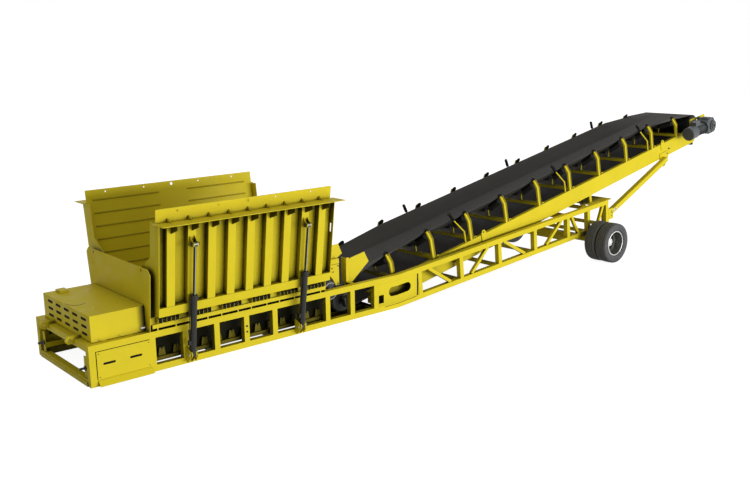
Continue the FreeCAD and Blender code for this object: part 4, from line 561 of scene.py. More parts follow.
# %% [markdown]
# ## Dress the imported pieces
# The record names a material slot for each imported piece, and most pieces take their slot's finish. A few
# share a slot but not a finish, and are given their own by name.

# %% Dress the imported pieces
FINISHES = {
    "belt_rubber": belt_rubber, "tyre_rubber": tyre_rubber, "roller_steel": roller_steel,
    "rod_chrome": rod_chrome, "rim_paint": wheel_paint, "grey_paint": case_grey, "yellow_paint": yellow_paint,
}
OWN_FINISHES = {
    "power_pack": barrel_black, "belt_scraper": dark_steel, "feeder_side_frames": feeder_paint,
    "feeder_rails": shaded_yellow, "hood": hood_paint, "feeder_belt": feeder_rubber,
    "idler_frames": bracket_paint,
}
for side in ("near", "far"):
    OWN_FINISHES[f"wing_ledge_{side}"] = ledge_paint
    for part, paint in hinge_paints.items():
        OWN_FINISHES[f"{part}_{side}"] = paint
    for end in ("feed", "head"):
        OWN_FINISHES[f"barrel_{side}_{end}"] = barrel_black


def dress(node, material):
    target = bpy.data.objects[node]
    for place in target.material_slots:
        place.material = material
    if not target.material_slots:
        target.data.materials.append(material)


for row in frame["record"]["subparts"]:
    dress(row["node"], OWN_FINISHES.get(row["node"], FINISHES[row["material_slot"]]))

# %% [markdown]
# ## Mesh helpers
# Small hardware is built in bmesh, which holds a mesh in memory while code adds to it. Each helper adds
# one form to the same bmesh, so a whole row of bolts becomes one object. A form is drawn in a frame, a
# 4 x 4 matrix: building along the frame's Z axis and then placing it is easier than working out slanted
# coordinates.

# %% Frames and angles
SIDES = {"near": -1, "far": 1}


def frame_at(point, axis=(0, 0, 1)):
    """A frame at a point, with its Z along the axis."""
    turn = Vector(axis).to_track_quat("Z", "Y").to_matrix().to_4x4()
    return Matrix.Translation(point) @ turn


def side_frame(out, across, along=0.0, level=0.0):
    """A frame for sheet on a side: X along the machine, Y up and Z towards +Y or, for an out of -1, -Y."""
    place = Matrix(((1, 0, 0), (0, 0, out), (0, 1, 0))).to_4x4()
    place.translation = (along, across, level)
    return place


def section_frame(sign, way, place):
    """A frame for sheet across the machine: X out from its middle, Y up and Z along it, the way given."""
    section = Matrix(((0, 0, way), (sign, 0, 0), (0, 1, 0))).to_4x4()
    section.translation = place
    return section


def around(count, start=0.0):
    """Even angles round a circle, the first of them a share of a step on."""
    return [2 * math.pi * (number + start) / count for number in range(count)]


def polar(radius, angle, height=0.0):
    return Vector((radius * math.cos(angle), radius * math.sin(angle), height))


# %% Solid forms
def add_rings(shape, rings, ends=True, loop=False):
    """Skin over rings of points. The ends are closed, left open or, in a loop, joined to each other."""
    rows = [[shape.verts.new(point) for point in ring] for ring in rings]
    for row, following in zip(rows, rows[1:] + rows[:1] if loop else rows[1:]):
        for i in range(len(row)):
            j = (i + 1) % len(row)
            shape.faces.new((row[i], row[j], following[j], following[i]))
    if ends and not loop:
        shape.faces.new(rows[0][::-1])
        shape.faces.new(rows[-1])


def add_lathe(shape, place, outline, steps=24):
    """Turn (radius, height) points about the place's Z axis. A radius of 0 closes the end."""
    rows = []
    for radius, height in outline:
        angles = around(steps) if radius else [0]
        rows.append([shape.verts.new(place @ polar(radius, angle, height)) for angle in angles])
    for row, following in zip(rows, rows[1:]):
        for step in range(steps):
            onward = (step + 1) % steps
            corners = [row[step % len(row)], row[onward % len(row)],
                       following[onward % len(following)], following[step % len(following)]]
            unique = list(dict.fromkeys(corners))
            if len(unique) > 2:
                shape.faces.new(unique)


def add_prism(shape, place, outline, depth):
    """Extrude a closed outline of (x, y) points along the place's Z axis."""
    add_rings(shape, [[place @ Vector((a, b, height)) for a, b in outline] for height in (0, depth)])


def rounded_outline(length, height, radius, steps=5):
    """A rectangle centred on the origin with rounded corners."""
    points = []
    for quarter, (a, b) in enumerate(((1, 1), (-1, 1), (-1, -1), (1, -1))):
        for step in range(steps + 1):
            corner = polar(radius, math.pi / 2 * (quarter + step / steps))
            points.append((a * (length / 2 - radius) + corner.x, b * (height / 2 - radius) + corner.y))
    return points


def add_tube(shape, points, radius, steps=12):
    """A round bar along a line of points, closed at both ends."""
    points = [Vector(point) for point in points]
    rings = []
    for index, point in enumerate(points):
        before = points[max(index - 1, 0)]
        after = points[min(index + 1, len(points) - 1)]
        turn = (after - before).to_track_quat("Z", "Y")
        rings.append([point + turn @ polar(radius, angle) for angle in around(steps)])
    add_rings(shape, rings)


def add_bolt(shape, point, axis, across):
    """A hexagon head on a washer, standing on the point."""
    place = frame_at(point, axis)
    washer, corner, seat, chamfer, top = (across * share for share in (0.62, 0.577, 0.1, 0.5, 0.6))
    add_lathe(shape, place, [(0, 0), (washer, 0), (washer, seat), (0, seat)], 20)
    add_lathe(shape, place, [(corner, seat), (corner, chamfer), (corner * 0.88, top), (0, top)], 6)


def make_piece(name, shape, material, body="chassis", sharp=35):
    """Turn the bmesh into an object that rides on a body, with its flat faces crisp."""
    bmesh.ops.recalc_face_normals(shape, faces=shape.faces)
    for face in shape.faces:
        face.smooth = True
    for edge in shape.edges:
        edge.smooth = len(edge.link_faces) == 2 and edge.calc_face_angle(0) < math.radians(sharp)
    mesh = bpy.data.meshes.new(name)
    shape.to_mesh(mesh)
    shape.free()
    mesh.materials.append(material)
    item = bpy.data.objects.new(name, mesh)
    bpy.context.scene.collection.objects.link(item)
    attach(item, body)
    print(name, len(mesh.polygons), "faces")
    return item


# %% [markdown]
# ## Where things are
# The belt and the wings each lie at an angle, so each has a small function that turns a place given along,
# across and above it into a place in the machine's frame. Their angles are drawing sizes; the rest is read
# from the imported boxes.

# %% Inclined frames
HINGE_OUT, HINGE_LEVEL, WING_TILT = 0.905, 0.705, math.radians(7.6)
FRAME_HALF = -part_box("side_frame_near")[0].y
UP_FROM_BELT = Vector((-math.sin(BELT_SLOPE), 0, math.cos(BELT_SLOPE)))


def turned(first, second, angle):
    """A flat place turned by an angle."""
    return (first * math.cos(angle) - second * math.sin(angle),
            first * math.sin(angle) + second * math.cos(angle))


def on_belt(along, across, above):
    x, z = turned(along, above, BELT_SLOPE)
    return BELT_TAIL + Vector((x, across, z))


def on_wing(side, along, across, above):
    """A place on a wing: across grows inwards from the hinge, above along the wing."""
    inward, level = turned(across, above, WING_TILT)
    return Vector((along, SIDES[side] * (HINGE_OUT - inward), HINGE_LEVEL + level))


def wing_direction(side, across, above):
    return on_wing(side, 0, across, above) - on_wing(side, 0, 0, 0)


print("belt climbs to", round(on_belt(BELT_RUN, 0, 0).z, 2), "m; frame is", round(2 * FRAME_HALF, 2), "m")

# %% [markdown]
# ## Road wheels
# A truck tyre is a ring whose section tells most of the story: a bead clamped by the rim, a bulging wall,
# a rounded shoulder and a broad tread cut by grooves that run all the way round. Turning that section about
# the axle makes all of it, grooves and the moulded ring on the wall included.

# %% Tyres
TYRE_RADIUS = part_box("tyres_near")[1].z - AXLE.z
WHEEL_FACE = -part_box("tyres_near")[0].y
TYRE_WIDTH, TYRE_PITCH, TYRE_STEPS, BEAD_RADIUS = 0.250, 0.258, 160, 0.2283
TREAD_HALF, CROWN_DROP = 0.091, 0.004
GROOVE_PLACES, GROOVE_HALF, GROOVE_DEPTH = (0.058, 0.019, -0.019, -0.058), 0.0045, 0.009
ABOVE_BEAD = ((0, 0.083), (0.021, 0.083), (0.030, 0.104), (0.048, 0.117), (0.072, 0.1235), (0.076, 0.1205),
              (0.080, 0.1245), (0.105, 0.1215))
BELOW_TREAD = ((0.036, 0.1195), (0.022, 0.1155), (0.010, 0.1060))


def tread_radius(across):
    """The tread's radius, a little less towards its shoulders."""
    return TYRE_RADIUS - CROWN_DROP * (across / TREAD_HALF) ** 2


def tyre_section():
    """(radius, across) from one bead to the other over the tread."""
    wall = [(BEAD_RADIUS + rise, across) for rise, across in ABOVE_BEAD]
    wall += [(TYRE_RADIUS - drop, across) for drop, across in BELOW_TREAD]
    wall.append((tread_radius(TREAD_HALF), TREAD_HALF))
    crown = []
    for middle in GROOVE_PLACES:
        for share, depth in ((1, 0), (0.5, GROOVE_DEPTH), (-0.5, GROOVE_DEPTH), (-1, 0)):
            across = middle + share * GROOVE_HALF
            crown.append((tread_radius(across) - depth, across))
    return [*wall, *crown, *[(radius, -across) for radius, across in wall[::-1]]]


def round_axle(radius, angle, across):
    return (AXLE.x + radius * math.cos(angle), across, AXLE.z + radius * math.sin(angle))


for side, sign in SIDES.items():
    shape = bmesh.new()
    section = tyre_section()
    outer = sign * (WHEEL_FACE - TYRE_WIDTH / 2)
    for middle in (outer, outer - sign * TYRE_PITCH):
        add_rings(shape, [[round_axle(radius, angle, middle + across) for radius, across in section]
                          for angle in around(TYRE_STEPS)], loop=True)
    tyres = make_piece(f"road_tyres_{side}", shape, tyre_rubber, f"wheels_{side}", sharp=28)
    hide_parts(f"tyres_{side}")

# %% [markdown]
# ## Wheel fittings
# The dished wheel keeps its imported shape. What makes it a wheel up close is added to it: ten nuts on their
# studs round the hub, the hub cap's flange and bolts, and a rolled bead on the silver lip. Each ring is a
# lathe outline, and the nuts are one helper called round a circle.

# %% Wheel fittings
SEAM = WHEEL_FACE - TYRE_WIDTH / 2 - TYRE_PITCH / 2
NUT_FACE, HUB_FACE, LIP_FACE = SEAM + 0.012, SEAM + 0.092, WHEEL_FACE - 0.033
NUT_CIRCLE, NUT_COUNT, NUT_SIZE, STUD_FROM = 0.108, 10, 0.032, 0.019
CAP_CIRCLE, CAP_BOLTS, CAP_BOLT_SIZE, CAP_FACE = 0.064, 6, 0.009, 0.0042
STUD = ((0.0105, 0), (0.0105, 0.016), (0.008, 0.019), (0, 0.019))
HUB_CAP = ((0.0785, -0.078), (0.0800, -0.060), (0.0795, -0.004), (0.074, 0.003), (0.052, 0.005),
           (0.050, 0.011), (0.040, 0.013), (0.016, 0.0135), (0, 0.0135))
LIP_BEAD = ((0.2245, -0.010), (0.2245, 0.001), (0.229, 0.0045), (0.236, 0.005), (0.2425, 0.002),
            (0.2425, -0.004))

for side, sign in SIDES.items():
    outward, wheel = Vector((0, sign, 0)), f"wheels_{side}"
    nuts, cap, trim = bmesh.new(), bmesh.new(), bmesh.new()
    for angle in around(NUT_COUNT):
        spot = Vector(round_axle(NUT_CIRCLE, angle, sign * NUT_FACE))
        add_bolt(nuts, spot, outward, NUT_SIZE)
        add_lathe(nuts, frame_at(spot + STUD_FROM * outward, outward), STUD, 10)
    hub = frame_at((AXLE.x, sign * HUB_FACE, AXLE.z), outward)
    add_lathe(cap, hub, HUB_CAP, 48)
    for angle in around(CAP_BOLTS, 0.5):
        add_bolt(trim, hub @ polar(CAP_CIRCLE, angle, CAP_FACE), outward, CAP_BOLT_SIZE)
    add_lathe(trim, frame_at((AXLE.x, sign * LIP_FACE, AXLE.z), outward), LIP_BEAD, 96)
    make_piece(f"wheel_nuts_{side}", nuts, dark_steel, wheel)
    make_piece(f"hub_cap_{side}", cap, hub_white, wheel)
    make_piece(f"wheel_trim_{side}", trim, zinc_plate, wheel)

# %% [markdown]
# ## Slots in the sheets
# The side panels and the hood are sheet with hand slots and louvres. On the real sheet each slot has
# rounded ends and a dark edge, with shade behind. A thin black sheet behind the slot is painted shadow that
# gives the shade, and a flat rounded ring on its face gives the edge.

# %% Slot liners and edges
SHEET, SHADOW_SHEET_DEPTH, SHADOW_SHEET_THICK, SHADOW_SHEET_ROUND, SHADOW_SHEET_BORDER = 0.006, 0.0082, 0.002, 0.012, (0.04, 0.03)
EDGE_OUTER, EDGE_INNER, EDGE_RISE, EDGE_LIFT, EDGE_FLAT = 0.010, -0.004, 0.0015, 0.0002, 0.0005
SLOT_EDGE = ((EDGE_OUTER, 0), (EDGE_OUTER, EDGE_RISE), (EDGE_INNER, EDGE_RISE), (EDGE_INNER, -SHEET))


def add_slot(shape, middle, size, outward, along_slot):
    """A black sheet behind the slot as painted shadow, and a rounded dark edge on its face."""
    length, height = size
    middle, outward, along_slot = Vector(middle), Vector(outward), Vector(along_slot)
    basis = Matrix((along_slot, outward.cross(along_slot), outward)).transposed().to_4x4()
    # Painted shadow: a black sheet behind the slot stands for the shade inside it.
    back = Matrix.Translation(middle - outward * SHADOW_SHEET_DEPTH) @ basis
    shadow_sheet = rounded_outline(length + SHADOW_SHEET_BORDER[0], height + SHADOW_SHEET_BORDER[1], SHADOW_SHEET_ROUND)
    add_prism(shape, back, shadow_sheet, SHADOW_SHEET_THICK)
    face = Matrix.Translation(middle + outward * EDGE_LIFT) @ basis
    rings = []
    for grow, rise in SLOT_EDGE:
        outline = rounded_outline(length + grow, height + grow, (height + grow) / 2 - EDGE_FLAT)
        rings.append([face @ Vector((a, b, rise)) for a, b in outline])
    add_rings(shape, rings, ends=False)


PANEL_LOW, PANEL_HIGH, PANEL_START, PANEL_END = 0.092, 0.462, 0.100, 0.850
PANEL_SLOT, PANEL_SLOT_STARTS, PANEL_SLOT_LEVEL = (0.160, 0.020), (0.187, 0.557), 0.289
shape = bmesh.new()
for sign in SIDES.values():
    for start in PANEL_SLOT_STARTS:
        middle = (start + PANEL_SLOT[0] / 2, sign * (FRAME_HALF + SHEET), PANEL_SLOT_LEVEL)
        add_slot(shape, middle, PANEL_SLOT, (0, sign, 0), (1, 0, 0))
make_piece("panel_slots", shape, seal_and_shade_rubber)

# A rubber strip closes the joint between each panel and its frame, up its front edge and along its top.
STRIP_OVERLAP, STRIP_THICK, STRIP_SUNK, STRIP_START = 0.020, 0.004, 0.0005, PANEL_START - 0.014
STRIP_BOXES = ((STRIP_START, PANEL_START + STRIP_OVERLAP, PANEL_LOW, PANEL_HIGH),
               (STRIP_START, PANEL_END - 0.005, PANEL_HIGH - STRIP_OVERLAP, PANEL_HIGH + 0.012))
shape = bmesh.new()
for sign in SIDES.values():
    for x0, x1, z0, z1 in STRIP_BOXES:
        add_prism(shape, side_frame(-sign, sign * (FRAME_HALF - STRIP_SUNK)),
                  [(x0, z0), (x1, z0), (x1, z1), (x0, z1)], STRIP_THICK)
make_piece("panel_strips", shape, seal_and_shade_rubber)

HOOD_FACE, HOOD_SLOT, LOUVRE_MIDDLE, LOUVRE_LOW = 0.095, (0.155, 0.026), -0.028, 0.643
LOUVRE_PITCH, LOUVRE_RISE = 0.277, 0.099
shape = bmesh.new()
for column in range(-2, 3):
    for row in range(3):
        middle = (HOOD_FACE, column * LOUVRE_PITCH + LOUVRE_MIDDLE, LOUVRE_LOW + row * LOUVRE_RISE)
        add_slot(shape, middle, HOOD_SLOT, (-1, 0, 0), (0, 1, 0))
make_piece("hood_louvres", shape, seal_and_shade_rubber)

# %% [markdown]
# ## Sheet-metal fixings
# Panels are held by small screws near their corners. The hood has a plated catch low on its side, by the
# hopper's end plate, and a curved stay on its lid. The stay is a bent wire, so it is a tube along a few
# points, and the catch is two rounded plates, one on the other.

# %% Panel screws, catch and stay
SCREW_INSET = 0.028
SCREW = ((0.007, 0), (0.007, 0.002), (0.004, 0.0045), (0.002, 0.0048), (0.002, 0.002), (0, 0.002))
shape = bmesh.new()
for sign in SIDES.values():
    for x in (PANEL_START + SCREW_INSET, PANEL_END - SCREW_INSET):
        for z in (PANEL_LOW + SCREW_INSET, PANEL_HIGH - SCREW_INSET):
            add_lathe(shape, frame_at((x, sign * (FRAME_HALF + SHEET), z), (0, sign, 0)), SCREW, 16)
make_piece("panel_screws", shape, dark_steel)

HOOD_HALF, HOOD_TOP, CATCH_THICK, CATCH_PLACE = 0.770, 0.912, 0.012, (0.812, 0.612)
shape = bmesh.new()
for out, outline, thick in ((HOOD_HALF, rounded_outline(0.064, 0.020, 0.0098), CATCH_THICK),
                            (HOOD_HALF + CATCH_THICK, rounded_outline(0.052, 0.012, 0.0058), 0.006)):
    add_prism(shape, side_frame(-1, -out, *CATCH_PLACE), outline, thick)
make_piece("hood_catch", shape, zinc_plate)

STAY = ((0.105, 0.022), (0.118, -0.070), (0.155, -0.145), (0.229, -0.174), (0.315, -0.134))
STAY_LEVEL, STAY_RADIUS = HOOD_TOP + 0.001, 0.003
shape = bmesh.new()
add_tube(shape, [(x, y, STAY_LEVEL) for x, y in STAY], STAY_RADIUS, 8)
make_piece("hood_stay", shape, dark_steel)

LID_STUD, SIDE_STUD_LEVEL = ((0.016, 0), (0.016, 0.003), (0.010, 0.007), (0, 0.008)), 0.585
SIDE_STUD = ((0.013, 0), (0.013, 0.002), (0.008, 0.006), (0, 0.006))
shape = bmesh.new()
for x in (0.30, 0.62):
    for y in (-0.42, 0.42):
        add_lathe(shape, frame_at((x, y, HOOD_TOP)), LID_STUD, 20)
for x in (0.20, 0.475, 0.75):
    for sign in SIDES.values():
        add_lathe(shape, frame_at((x, sign * HOOD_HALF, SIDE_STUD_LEVEL), (0, sign, 0)), SIDE_STUD, 16)
make_piece("hood_fixings", shape, yellow_paint)

# %% [markdown]
# ## Pressed wing sheets
# The hopper's wings are wide sheets that would drum and bow, so their inner faces are pressed with long
# shallow ridges in two columns. Each is modelled as a low half-round bead whose ends taper into the sheet,
# six to a column, and all twelve on a wing are one mesh.

# %% Pressed ridges
WING_START, WING_LENGTH, WING_INNER = 0.946, 2.830, 0.026
RIDGE_HALF, RIDGE_RISE, RIDGE_TAPER, RIDGE_SUNK, RIDGE_STEPS = 0.012, 0.014, 0.03, 0.0008, 6
RIDGE_SPANS = ((1.036, 2.111), (2.587, 3.646))
RIDGE_LEVELS = (0.395, 0.593, 0.794, 0.988, 1.182, 1.375)


def ridge_ring(side, along, share, level):
    """A half-round across the ridge, as high as its share of the full rise."""
    ring = []
    for step in range(RIDGE_STEPS + 1):
        angle = math.pi * step / RIDGE_STEPS
        rise = RIDGE_RISE * share * math.sin(angle) - RIDGE_SUNK
        ring.append(on_wing(side, along, WING_INNER + rise, level + RIDGE_HALF * math.cos(angle)))
    return ring


for side in SIDES:
    shape = bmesh.new()
    for start, end in RIDGE_SPANS:
        for level in RIDGE_LEVELS:
            places = ((start, 0), (start + RIDGE_TAPER, 1), (end - RIDGE_TAPER, 1), (end, 0))
            add_rings(shape, [ridge_ring(side, along, share, level) for along, share in places])
    make_piece(f"wing_ridges_{side}", shape, ridge_paint, f"wing_{side}")

# %% [markdown]
# ## Welds
# Ribs, gussets and posts are welded on, and a weld shows as a slightly lumpy fillet in the corner. A
# fillet is a long triangle whose face wanders a little; a sine along its length gives the ripple that the
# welder's hand leaves.

# %% Weld fillets
WELD_LEG, WELD_RIPPLE, WELD_STEP, WELD_WANDER, WELD_HOLLOW = 0.007, 0.0012, 0.03, 2.1, 0.42
RIB_FIRST, RIB_PITCH, RIB_COUNT, RIB_WIDTH, RIB_DEPTH = 0.166, 0.306, 9, 0.120, 0.107
RIB_MIDDLES = [WING_START + RIB_FIRST + rib * RIB_PITCH for rib in range(RIB_COUNT)]
RAIL_HIGH, LEDGE_LEVEL = 0.200, 1.333
PANEL_OUT = WING_INNER - 0.008
RIB_FACE = PANEL_OUT - RIB_DEPTH


def add_weld(shape, start, end, first, second):
    """A fillet from start to end in the corner between the directions first and second."""
    steps = max(2, int((end - start).length / WELD_STEP))
    rings = []
    for step in range(steps + 1):
        point = start.lerp(end, step / steps)
        leg = WELD_LEG + WELD_RIPPLE * math.sin(step * WELD_WANDER)
        rings.append([point, point + first * leg, point + (first + second) * leg * WELD_HOLLOW,
                      point + second * leg])
    add_rings(shape, rings)


for side in SIDES:
    shape = bmesh.new()
    for middle in RIB_MIDDLES:
        for way in (-1, 1):
            x = middle + way * RIB_WIDTH / 2
            add_weld(shape, on_wing(side, x, PANEL_OUT, RAIL_HIGH), on_wing(side, x, PANEL_OUT, LEDGE_LEVEL),
                     Vector((way, 0, 0)), wing_direction(side, -1, 0))
        foot = [on_wing(side, middle + way * RIB_WIDTH / 2, RIB_FACE, RAIL_HIGH) for way in (-1, 1)]
        add_weld(shape, *foot, wing_direction(side, 0, 1), wing_direction(side, 1, 0))
    make_piece(f"wing_welds_{side}", shape, yellow_paint, f"wing_{side}", sharp=60)

# %% [markdown]
# ## Cylinders
# Each hydraulic cylinder has a black barrel, a gland nut round the rod, two oil ports and a chromed rod
# with a forged eye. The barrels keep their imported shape. Bands, port adaptors and gland flats are added
# to the barrels, and a capped pin to the ears that hold each rod's eye.

# %% Cylinder fittings
FOOT_OUT, FOOT_LEVEL, BARREL_LENGTH, BARREL_RADIUS = 0.980, 0.150, 0.870, 0.043
EYE_DROP, EYE_LEVEL, EYE_CAP_FACE = 0.077, 1.051, 0.052
CYLINDER_RIBS = {"feed": RIB_MIDDLES[1], "head": RIB_MIDDLES[7]}
BANDS = ((0.10, 0.022, 0.004), (0.30, 0.018, 0.003), (0.58, 0.018, 0.003))
GLAND = ((0.0485, 0), (0.052, 0.003), (0.052, 0.034), (0.0485, 0.037))
GLAND_RING = ((0.046, 0), (0.044, 0.006), (0.024, 0.008), (0.0215, 0.004))
PORT = ((0.013, -0.004), (0.013, 0.010), (0.010, 0.013), (0.010, 0.021), (0, 0.021))
PORT_PLACES, PIPE_BEND, PIPE_RADIUS = (0.165, 0.79), 0.02, 0.006
EYE_CAP = ((0.027, 0), (0.027, 0.004), (0.018, 0.004), (0.015, 0.011), (0, 0.011))


def fit_barrel(shape, foot, lean):
    """Bands, gland, oil ports and their pipe on a barrel that leans up from its foot."""
    for at, width, extra in BANDS:
        inside, outside = BARREL_RADIUS + 0.0005, BARREL_RADIUS + extra
        add_lathe(shape, frame_at(foot + lean * at, lean),
                  [(inside, 0), (outside, 0.002), (outside, width - 0.002), (inside, width)], 40)
    add_lathe(shape, frame_at(foot + lean * (BARREL_LENGTH - 0.052), lean), GLAND, 8)
    add_lathe(shape, frame_at(foot + lean * BARREL_LENGTH, lean), GLAND_RING, 40)
    for at in PORT_PLACES:
        port = foot + lean * at - Vector((BARREL_RADIUS + 0.002, 0, 0))
        add_lathe(shape, frame_at(port, (-1, 0, 0)), PORT, 6)
    low, high = (foot + lean * at - Vector((BARREL_RADIUS + 0.017, 0, 0)) for at in PORT_PLACES)
    add_tube(shape, [low, low + lean * PIPE_BEND, high - lean * PIPE_BEND, high], PIPE_RADIUS, 8)


for side, sign in SIDES.items():
    pins = bmesh.new()
    for end, x in CYLINDER_RIBS.items():
        foot = Vector((x, sign * FOOT_OUT, FOOT_LEVEL))
        eye = on_wing(side, x, RIB_FACE - EYE_DROP, EYE_LEVEL)
        shape = bmesh.new()
        fit_barrel(shape, foot, (eye - foot).normalized())
        make_piece(f"barrel_fittings_{side}_{end}", shape, barrel_black,
                   f"cylinder_barrel_{side}_{end}")
        for way in (-1, 1):
            add_lathe(pins, frame_at(eye + Vector((way * EYE_CAP_FACE, 0, 0)), (way, 0, 0)), EYE_CAP, 28)
    make_piece(f"eye_pins_{side}", pins, dark_steel, f"wing_{side}")

# %% [markdown]
# ## Cylinder feet
# Each cylinder's foot stands between two leaf-shaped plates on the frame's side. A leaf is a flat outline
# in the machine's cross-section, pushed along it to its thickness, and a plated cap ends the foot's pin.

# %% Foot plates and caps
LEAF = ((0.8805, 0.245), (0.965, 0.225), (1.000, 0.200), (1.014, 0.160), (1.006, 0.110), (0.950, 0.030),
        (0.8805, 0.085))
LEAF_THICK, LEAF_FROM = 0.006, 0.0525
FOOT_CAP = ((0.019, 0), (0.019, 0.004), (0.013, 0.008), (0, 0.008))
caps, leaves = bmesh.new(), bmesh.new()
for sign in SIDES.values():
    for middle in CYLINDER_RIBS.values():
        for way in (-1, 1):
            x = middle + way * LEAF_FROM
            add_prism(leaves, section_frame(sign, way, (x, 0, 0)), LEAF, LEAF_THICK)
            cap = frame_at((x + way * LEAF_THICK, sign * FOOT_OUT, FOOT_LEVEL), (way, 0, 0))
            add_lathe(caps, cap, FOOT_CAP, 28)
make_piece("foot_pin_caps", caps, zinc_plate)
make_piece("foot_plates", leaves, yellow_paint)

# %% [markdown]
# ## Hinges
# Under each wing a rail on stand-off blocks carries six hinges. Each has round sheet fins along its pin,
# black sleeves between them and a dark cap at both ends, whose black also stands as painted shade round the
# knuckles. Through the slit beneath the rail the throat's rubber seal shows as a black line, which also
# stands as painted shade in the slit.

# %% Hinge seals, caps, fins and sleeves
HINGE_FIRST, HINGE_PITCH, HINGE_COUNT = 0.164, 0.490, 6
HINGE_MIDDLES = [WING_START + HINGE_FIRST + number * HINGE_PITCH for number in range(HINGE_COUNT)]
CAP_FROM, END_SLEEVE_FROM, MIDDLE_SLEEVE_FROM = 0.1005, 0.0965, -0.0295
HINGE_CAP = ((0.020, -0.004), (0.020, 0.0), (0.011, 0.003), (0, 0.003))
END_SLEEVE = ((0.040, 0), (0.040, 0.050), (0.032, 0.056), (0, 0.056))
MIDDLE_SLEEVE = ((0.028, 0), (0.0312, 0.002), (0.0312, 0.057), (0.028, 0.059))
FIN_BORE, FIN_RADIUS, FIN_SHEET = 0.010, 0.048, 0.0035
FIN_PLACES = (-0.1545, -0.0975, -0.0325, 0.0325, 0.0975, 0.1545)
FIN = ((FIN_BORE, 0), (FIN_RADIUS, 0), (FIN_RADIUS, FIN_SHEET), (FIN_BORE, FIN_SHEET))
FRAME_TOP, SEAL_HIGH, SEAL_THICK = 0.560, 0.031, 0.006


def hinge_frame(x, sign, way=1):
    """A frame on a hinge's pin, with Z along the machine, the way given."""
    return frame_at((x, sign * HINGE_OUT, HINGE_LEVEL), (way, 0, 0))


seals, caps, fins = bmesh.new(), bmesh.new(), bmesh.new()
for sign in SIDES.values():
    slit = section_frame(sign, 1, (WING_START - 0.03, sign * (FRAME_HALF - 0.062), FRAME_TOP + 0.0015))
    add_prism(seals, slit, [(0, 0), (SEAL_THICK, 0), (SEAL_THICK, SEAL_HIGH), (0, SEAL_HIGH)],
              WING_LENGTH + 0.02)
    for middle in HINGE_MIDDLES:
        for way in (-1, 1):
            add_lathe(caps, hinge_frame(middle + way * CAP_FROM, sign, way), HINGE_CAP, 20)
            add_lathe(caps, hinge_frame(middle + way * END_SLEEVE_FROM, sign, way), END_SLEEVE, 24)
        for place in FIN_PLACES:
            add_lathe(fins, hinge_frame(middle + place - FIN_SHEET / 2, sign), FIN, 32)
# Black rubber that also stands as painted shade, in the slit and round the knuckles.
make_piece("throat_seals", seals, seal_and_shade_rubber)
make_piece("hinge_caps", caps, seal_and_shade_rubber)
make_piece("hinge_fins", fins, yellow_paint)
for side, sign in SIDES.items():
    shape = bmesh.new()
    for middle in HINGE_MIDDLES:
        add_lathe(shape, hinge_frame(middle + MIDDLE_SLEEVE_FROM, sign), MIDDLE_SLEEVE, 28)
    make_piece(f"hinge_sleeves_{side}", shape, seal_and_shade_rubber, f"wing_{side}")

# %% [markdown]
# ## Bolts along the frame
# Bolts show where pieces that are made apart come together: the gussets on the conveyor's side rails, the
# joint of the frame, and each roller station's foot. One list holds each group's places, and one loop sets
# the heads.

# %% Frame and rail bolts
STRINGER_OUT = 0.700
RAIL_BOLTS = ((9.329, 0, -0.172, 0.030), (9.240, 0, -0.256, 0.030), (9.078, 0.012, -0.460, 0.036))
FRAME_BOLTS, FRAME_BOLT_SIZE = ((2.358, 0.321), (2.358, 0.238)), 0.024
shape = bmesh.new()
for sign in SIDES.values():
    for along, proud, above, size in RAIL_BOLTS:
        add_bolt(shape, on_belt(along, sign * (STRINGER_OUT + proud), above), (0, sign, 0), size)
    for x, z in FRAME_BOLTS:
        add_bolt(shape, (x, sign * FRAME_HALF, z), (0, sign, 0), FRAME_BOLT_SIZE)
make_piece("frame_bolts", shape, dark_steel)

STATION_BOLT_HALF, STATION_BOLT_OUT, STATION_BOLT_SIZE, FOOT_RISE = 0.024, STRINGER_OUT - 0.049, 0.020, 0.0005
shape = bmesh.new()
for along in STATIONS:
    for sign in SIDES.values():
        for way in (-STATION_BOLT_HALF, STATION_BOLT_HALF):
            spot = on_belt(along + way, sign * STATION_BOLT_OUT, FOOT_RISE)
            add_bolt(shape, spot, UP_FROM_BELT, STATION_BOLT_SIZE)
make_piece("station_bolts", shape, dark_steel)

# %% [markdown]
# ## Web plate seams
# The plate that fills the frame's bend stands a little back from its post and its lower chord. The gap
# between them reads as a dark line of shade, painted here as a thin black strip laid along it.

# %% Web plate seams
SEAM_SUNK, SEAM_THICK = 0.001, 0.0022
SEAMS = (((0, 0.004), ((5.0, 0.070), (5.285, 0.074), (5.722, 0.118))),
         ((0.012, 0), ((5.731, 0.130), (5.731, 0.500))))
shape = bmesh.new()
for sign in SIDES.values():
    for (wide, high), line in SEAMS:
        outline = [(x + wide, z + high) for x, z in line] + [(x - wide, z - high) for x, z in line[::-1]]
        add_prism(shape, side_frame(sign, sign * (FRAME_HALF - SEAM_SUNK)), outline, SEAM_THICK)
# Painted shade: black strips in the gaps.
make_piece("web_seams", shape, seal_and_shade_rubber)

# %% [markdown]
# ## Idler ends
# A roller turns on a dead shaft whose end is held in a hole near the tip of its side bracket. A black
# dust seal stands between the roller and the bracket's inner face, made wide so that its black also stands
# as painted shade on that face, and on the outer face the shaft's end shows as a small dark disc that also
# stands for the shade in its hole. At the bracket's foot a small eye carries the guard's hook; a black disc
# in its hole is painted shadow.

